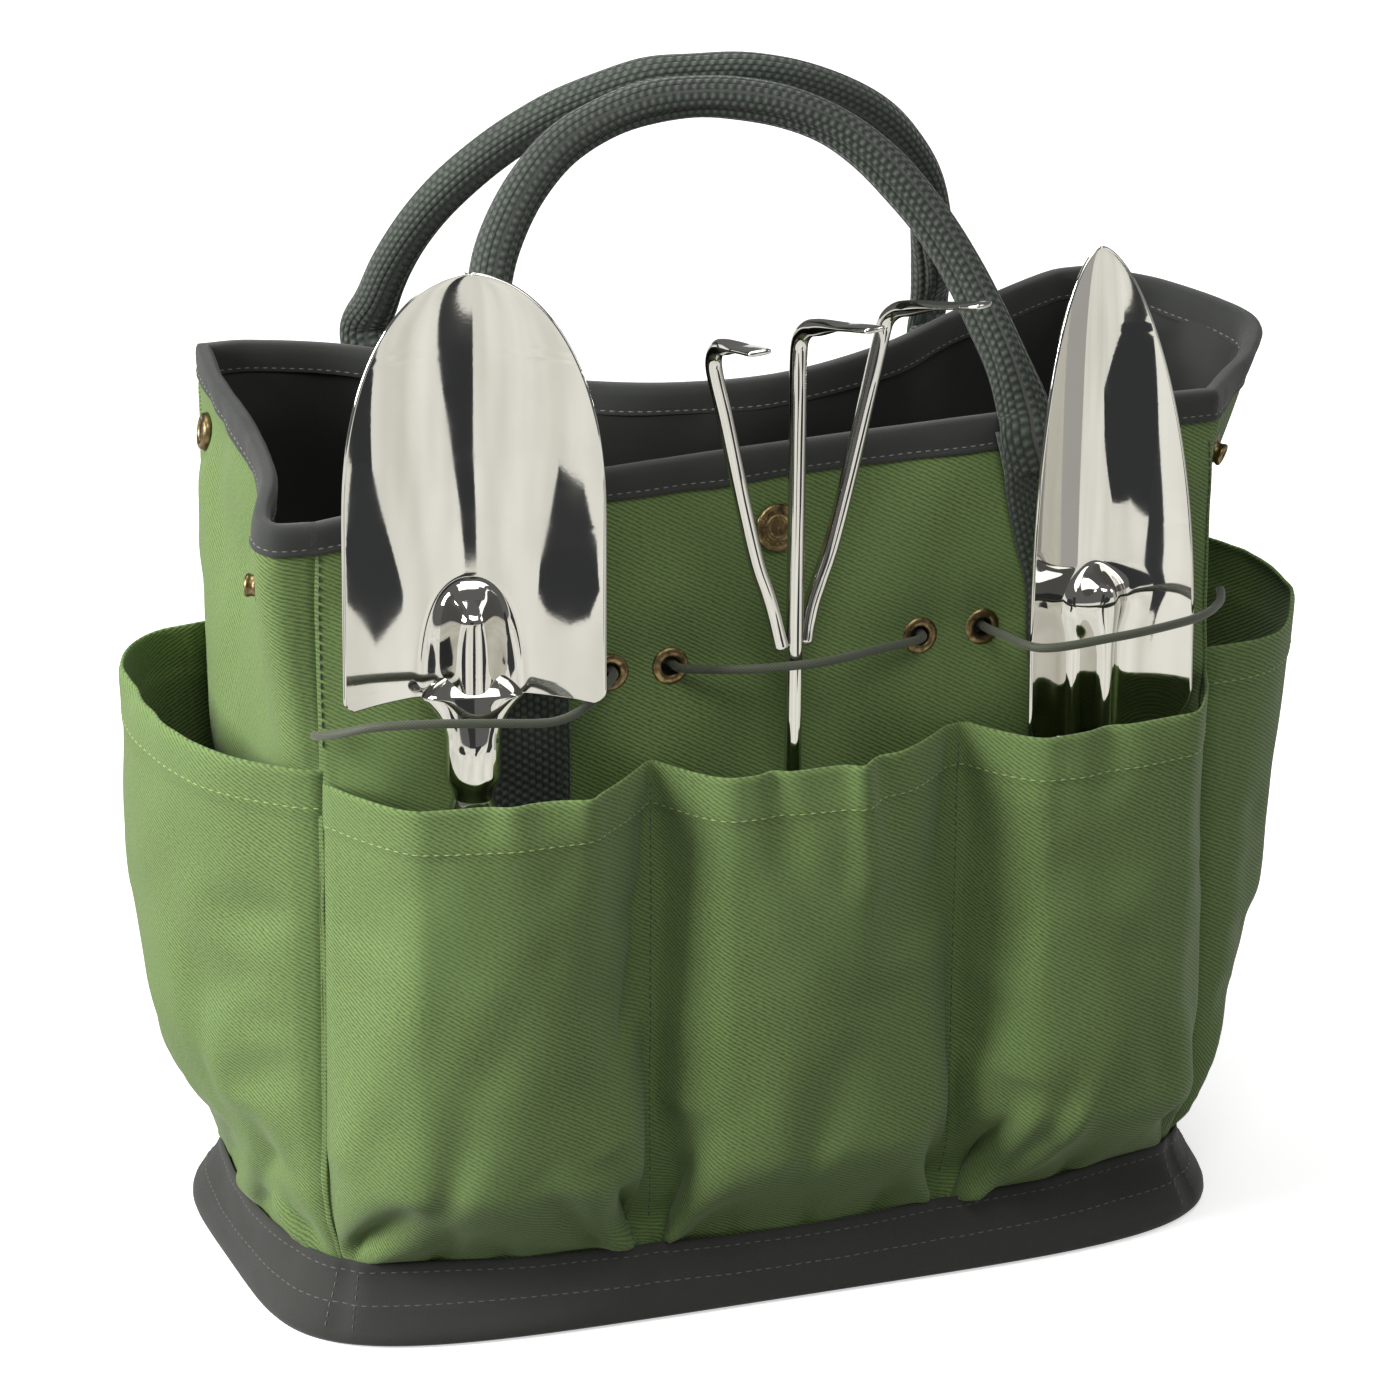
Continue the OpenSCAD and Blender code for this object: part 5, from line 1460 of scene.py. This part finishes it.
def blade_mesh(name, zs, half, depth, thick, m, place, body, replaces, soften=1.0):
    """A pressed blade: zs heights, half(z) half widths, depth(x, z) how far forward it comes."""
    e = np.sin(np.linspace(-1, 1, m) * np.pi / 2 * 0.98) / math.sin(np.pi / 2 * 0.98)
    e = 0.55 * e + 0.45 * np.linspace(-1, 1, m)
    H = half(zs)
    X = H[:, None] * e[None, :]
    Z = np.repeat(zs[:, None], m, 1)
    Dp = depth(X, Z)
    Dp = Dp + (blur(Dp, 3) - Dp) * soften
    Y = 8 + thick / 2 - Dp
    G = np.stack([X, Y, Z], -1)
    N = grid_normals(G)
    # normals point to the front (-y)
    A = G
    B = G - N * thick
    n = len(zs)
    V = np.concatenate([A.reshape(-1, 3), B.reshape(-1, 3)])
    F = list(map(tuple, grid_faces(n, m, 0))) + list(map(tuple, grid_faces(n, m, n * m, False, True)))
    q = n * m
    loop = [j for j in range(m)] + [i * m + m - 1 for i in range(1, n)] + [(n - 1) * m + j for j in range(m - 2, -1, -1)] + [i * m for i in range(n - 2, 0, -1)]
    k = len(V)
    mid = (V[loop] + V[[q + i for i in loop]]) / 2
    ctr = mid - np.roll(mid, 1, 0)
    tan = np.roll(mid, -1, 0) - np.roll(mid, 1, 0)
    nrm = N.reshape(-1, 3)[loop]
    outw = np.cross(tan, nrm)
    outw /= np.maximum(np.linalg.norm(outw, axis=1, keepdims=True), 1e-9)
    V = np.concatenate([V, mid + outw * thick * 0.35])
    for a in range(len(loop)):
        b = (a + 1) % len(loop)
        F.append((loop[b], loop[a], k + a, k + b))
        F.append((k + b, k + a, q + loop[a], q + loop[b]))
    return to_mesh(name, place(V), F, STEEL, V[:, :2], body=body, slot="steel", replaces=replaces)


def trowel_half(z):
    t = (z - 159) / 135
    top = np.sqrt(np.maximum(0.0003, 1 - np.clip((t - 0.42) / 0.58, 0, 1) ** 2.5))
    return 39.7 * top * (1 - 0.075 * (1 - np.clip((z - 159) / 4.5, 0, 1)) ** 2)


def trowel_depth(x, z):
    t = np.clip((z - 159) / 135, 0, 1)
    hw = np.maximum(trowel_half(np.maximum(z, 164)), 1)
    d = 16 * (hw / 40) ** 1.6 * (1 - 0.25 * t) * np.minimum(np.abs(x / hw), 1.02) ** 2.0
    zz = np.clip((z - 159) / 38, 0, 1)
    wb = 17.0 * np.sqrt(np.maximum(0, 1 - zz ** 2.3)) + 0.01
    r = np.abs(x) / wb
    skirt = 5.0 * (1 - sm((r - 0.36) / 0.66)) * sm((1 - zz) / 0.20)
    zt_ = np.clip((z - 159) / 34, 0, 1)
    wt = 8.2 * (1 - zt_ ** 3.4) ** 0.5 + 0.01
    tube = (7.4 - 1.6 * zt_) * np.exp(-np.abs(x / (wt * 0.86)) ** 3.0) * sm((1 - zt_) / 0.22)
    return d + skirt + tube


zs = np.concatenate([np.linspace(159.0, 168, 26), np.linspace(168.6, 215, 90), np.linspace(215.8, 269, 60), 294 - 24.5 * (1 - np.sin(np.linspace(0.02, 1, 46) * np.pi / 2)) ** 1.25])
zs = np.unique(np.round(zs, 4))
blade_mesh("polished_trowel_blade", zs, trowel_half, trowel_depth, 1.3, 150, at_trowel, "trowel", ["trowel_blade"])
C, _ = smooth_path([(0, 0, 128), (0, 0, 136), (0, 0.3, 144), (0, 1.0, 151), (0, 2.0, 157), (0, 3.0, 161), (0, 4.6, 166)], 90)
zc = C[:, 2]
wide = 6.6 + 2.3 * sm((zc - 128) / 8) + 6.9 * np.clip((zc - 147) / 12.5, 0, 1) ** 2 - 6.0 * np.clip((zc - 160) / 6, 0, 1) ** 1.5
deep = 6.6 + 2.0 * sm((zc - 128) / 8) - 1.6 * sm((zc - 144) / 14) - 3.2 * np.clip((zc - 160) / 6, 0, 1)
steel_piece("trowel_socket", [tube_mesh(C, wide, deep, (1, 0, 0), 64, sq=2.0)], at_trowel, "trowel", ["trowel_shank"])


def plant_half(z):
    t = (z - 113) / 170
    up_ = np.maximum(0.0003, 1 - np.clip((t - 0.24) / 0.76, 0, 1) ** 2.1) ** 0.60
    return 29.6 * np.where(t < 0.24, 0.70 + 0.30 * sm(t / 0.12), up_)


def plant_depth(x, z):
    t = np.clip((z - 113) / 170, 0, 1)
    hw = np.maximum(plant_half(np.maximum(z, 133)), 1)
    d = 14 * (hw / 29.8) ** 1.5 * (1 - 0.2 * t) * np.minimum(np.abs(x / hw), 1.02) ** 2.0
    zz = np.clip((z - 113) / 66, 0, 1)
    wb = 5.7 * (1 + 0.72 * gauss((z - 168) / 10)) * (1 - zz ** 6) ** 0.5 + 0.01
    tube = 9.0 * np.exp(-np.abs(x / (wb * 0.9)) ** 2.8) * sm((1 - zz) / 0.10)
    skirt = 2.4 * gauss(x / (wb * 1.5 + 1.5)) * sm((1 - zz) / 0.16)
    return d + tube + skirt


zs = np.concatenate([np.linspace(113, 150, 40), np.linspace(150.6, 190, 90), np.linspace(190.8, 255, 60), 283 - 27.2 * (1 - np.sin(np.linspace(0.02, 1, 46) * np.pi / 2)) ** 1.2])
zs = np.unique(np.round(zs, 4))
blade_mesh("polished_transplanter_blade", zs, plant_half, plant_depth, 1.3, 130, at_plant, "transplanter", ["transplanter_blade"])
C, _ = smooth_path([(0, 0, 84), (0, 0, 92), (0, 0.2, 100), (0, 1.2, 108), (0, 2.6, 118)], 40)
k = np.linspace(0, 1, 40)
steel_piece("transplanter_socket", [tube_mesh(C, 6.2 - 0.2 * k, 6.2 - 1.6 * sm((k - 0.6) / 0.4), (1, 0, 0), 48)], at_plant, "transplanter", ["transplanter_shank"])


def rod_mesh(P, r, claw):
    C, total = smooth_path(P, 240)
    d = total - np.linspace(0, total, 240)
    f = sm((claw - d) / (claw * 0.55))
    wide = r + (4.0 - r) * f - 0.4 * sm((3 - d) / 3)
    thin = r + (0.95 - r) * f
    return tube_mesh(C, wide, thin, (1, 0, 0.01), 28, sq=2 + 1.2 * f, cap=True, cap_round=0.5)


steel_piece("cultivator_shank_rod", [rod_mesh([[0, 0, 126], [0, 0, 150], [0, 0, 180], [0, 0, 215], [0, 0, 250], [0, 0, 266], [0, -1.2, 271.5], [0, -5, 275.3], [0, -10, 277.2], [0, -20, 280.2], [0, -30, 282.8], [0, -40, 285]], 2.75, 32)], at_cult, "cultivator", ["cultivator_shank"])
for sgn, nm in ((-1, "left"), (1, "right")):
    P = [[sgn * 4.6, 0.9, 170.5], [sgn * 5.6, 1.3, 175], [sgn * 7.4, 1.5, 182], [sgn * 10.2, 1.2, 190], [sgn * 14, 1, 200], [sgn * 20, 0.5, 222], [sgn * 27, 0, 250], [sgn * 31.2, 0, 266], [sgn * 32.2, -1.2, 271.5], [sgn * 33.2, -5, 275.3],
         [sgn * 34.2, -10, 277.2], [sgn * 36.5, -20, 280.2], [sgn * 39, -30, 282.8], [sgn * 41.5, -39, 285]]
    steel_piece("cultivator_%s_rod" % nm, [rod_mesh(P, 2.6, 32)], at_cult, "cultivator", ["cultivator_%s_tine" % nm])


def carry(node, mat, slot=None):
    o = frame.get(node) if isinstance(frame, dict) else None
    o = o or bpy.data.objects.get(node)
    o.data.materials.clear()
    o.data.materials.append(mat)
    return o


for nd in ("trowel_handle", "cultivator_handle", "transplanter_handle"):
    carry(nd, WOOD)
for nd in ("trowel_ferrule", "cultivator_ferrule", "transplanter_ferrule"):
    carry(nd, STEEL)
for nd in ("eyelet_washers", "closing_snap_stud", "closing_snap_socket", "closing_snap_back_cap"):
    carry(nd, BRASS)
carry("base_board", BOARD)


# ------------------------------------------------------------------ studio
def area(name, loc, target, size, size_y, power, color=(1, 1, 1)):
    li = bpy.data.lights.new(name, "AREA")
    li.shape = "RECTANGLE"
    li.size, li.size_y = size, size_y
    li.energy = power
    li.color = color
    o = bpy.data.objects.new(name, li)
    scene.collection.objects.link(o)
    o.location = loc
    o.visible_camera = False
    d = Vector(target) - Vector(loc)
    o.rotation_euler = d.to_track_quat("-Z", "Y").to_euler()
    return o


area("left_box", (-2.5, -0.24, 1.35), (0, 0, 0.18), 1.4, 1.3, 150)
area("right_box", (2.2, -1.1, 1.3), (0, 0, 0.18), 1.0, 1.2, 9)
area("top_box", (-0.2, 0.7, 2.4), (0, 0, 0.1), 2.0, 1.4, 34)
area("front_box", (-0.6, -1.5, 2.7), (0, 0, 0.2), 1.4, 1.0, 17)
area("near_front_box", (0.0, -0.80, 1.12), (0, -0.05, 0.22), 0.8, 0.5, 3.6)

w = bpy.data.worlds.new("studio")
scene.world = w
w.use_nodes = True
bg = w.node_tree.nodes["Background"]
bg.inputs[0].default_value = (1, 1, 1, 1)
bg.inputs[1].default_value = 0.16


def stage_plane(name, corners, mat):
    me = bpy.data.meshes.new(name)
    me.from_pydata(corners, [], [tuple(range(len(corners)))])
    me.materials.append(mat)
    o = bpy.data.objects.new(name, me)
    scene.collection.objects.link(o)
    return o


g = Graph("studio_floor")
FLOOR = g.set(Base_Color=(0.86, 0.86, 0.86, 1), Roughness=0.9, Specular_IOR_Level=0.1, Emission_Color=(1, 1, 1, 1), Emission_Strength=0.55)
stage_plane("studio_floor", [(-4, -4, -0.0004), (4, -4, -0.0004), (4, 4, -0.0004), (-4, 4, -0.0004)], FLOOR)

g = Graph("dark_card")
CARD = g.set(Base_Color=(0.004, 0.004, 0.005, 1), Roughness=1.0, Specular_IOR_Level=0.0, Emission_Color=(0.9, 0.95, 1.0, 1), Emission_Strength=0.05)


def card(name, centre, w_, h_, facing):
    c = Vector(centre)
    n = (Vector(facing) - c).normalized()
    r = n.cross(Vector((0, 0, 1))).normalized()
    u = r.cross(n)
    pts = [c - r * w_ / 2 - u * h_ / 2, c + r * w_ / 2 - u * h_ / 2, c + r * w_ / 2 + u * h_ / 2, c - r * w_ / 2 + u * h_ / 2]
    o = stage_plane(name, [tuple(p) for p in pts], CARD)
    o.visible_camera = False
    o.visible_diffuse = False
    o.visible_shadow = False
    o.visible_transmission = False
    return o


def flag(name, pts, diffuse=False, glossy=True):
    """A dark flag just out of sight: it only darkens what the steel mirrors, or only the soft light from the floor."""
    o = stage_plane(name, pts, CARD)
    o.visible_camera = False
    o.visible_diffuse = diffuse
    o.visible_glossy = glossy
    o.visible_shadow = False
    o.visible_transmission = False
    return o


def fan(at, az, d, z):
    a = math.radians(az)
    return (at[0] + d * math.sin(a), at[1] - d * math.cos(a), z)


T0, P0 = (-0.107, -0.0845), (0.104, -0.0845)
flag("flag_trowel_middle", [(-0.141, -0.504, 0.100), (-0.190, -0.497, 0.102), (-0.186, -0.497, 0.125), (-0.176, -0.499, 0.150), (-0.176, -0.499, 0.200), (0.030, -0.526, 0.200), (-0.040, -0.517, 0.169), (-0.085, -0.512, 0.150), (-0.120, -0.508, 0.125)])
flag("flag_right_of_trowel", [(0.082, -0.233, 0.209), (0.061, -0.259, 0.210), (0.054, -0.268, 0.197), (0.043, -0.282, 0.180), (0.028, -0.301, 0.155), (0.031, -0.297, 0.150), (0.053, -0.270, 0.148), (0.072, -0.245, 0.145), (0.087, -0.226, 0.155), (0.101, -0.208, 0.162), (0.096, -0.214, 0.183), (0.088, -0.224, 0.198)])
flag("flag_left_of_trowel", [(-0.355, -0.273, 0.184), (-0.376, -0.220, 0.182), (-0.390, -0.186, 0.166), (-0.395, -0.172, 0.147), (-0.389, -0.186, 0.135), (-0.375, -0.222, 0.130), (-0.351, -0.280, 0.128), (-0.341, -0.307, 0.130), (-0.341, -0.307, 0.143), (-0.349, -0.287, 0.165)])
flag("flag_transplanter", [(0.060, -0.262, 0.190), (0.075, -0.263, 0.182), (0.125, -0.265, 0.190), (0.183, -0.267, 0.184), (0.225, -0.268, 0.199), (0.235, -0.269, 0.215), (0.187, -0.268, 0.235), (0.137, -0.266, 0.252), (0.085, -0.264, 0.252), (0.060, -0.262, 0.235)])
grey = flag("grey_right_of_transplanter", [fan(P0, 62, 0.55, 0.0), fan(P0, 140, 0.55, 0.0), fan(P0, 140, 0.55, 0.32), fan(P0, 62, 0.55, 0.32)])
grey.data.materials.clear()
g = Graph("grey_card")
grey.data.materials.append(g.set(Base_Color=(0.0, 0.0, 0.0, 1), Roughness=1.0, Specular_IOR_Level=0.0, Emission_Color=(1.0, 0.985, 0.95, 1), Emission_Strength=0.52))
sweep = flag("floor_as_the_steel_sees_it", [(-3, -3, 0.0012), (3, -3, 0.0012), (3, 3, 0.0012), (-3, 3, 0.0012)])
sweep.data.materials.clear()
g = Graph("cream_sweep")
tone = g.range(g.noise(g.obj(), 3.2, 2), 0.35, 0.7, 0.0, 1.0)
sweep.data.materials.append(g.set(Base_Color=(0.0, 0.0, 0.0, 1), Roughness=1.0, Specular_IOR_Level=0.0, Emission_Color=g.mix(tone, (1.22, 1.21, 1.15, 1), (0.92, 0.90, 0.84, 1)), Emission_Strength=1.0))
fill = flag("negative_fill", [(-3, -3, 0.0008), (3, -3, 0.0008), (3, 3, 0.0008), (-3, 3, 0.0008)], diffuse=True, glossy=False)
fill.data.materials.clear()
g = Graph("dark_fill_floor")
fill.data.materials.append(g.set(Base_Color=(0.17, 0.17, 0.165, 1), Roughness=1.0, Specular_IOR_Level=0.0))
card("card_behind_camera", (-1.2, -3.3, 0.7), 1.3, 1.4, (0, 0, 0.2))

scene.view_settings.view_transform = "Standard"
scene.view_settings.look = "None"

print("simulations", SIM)
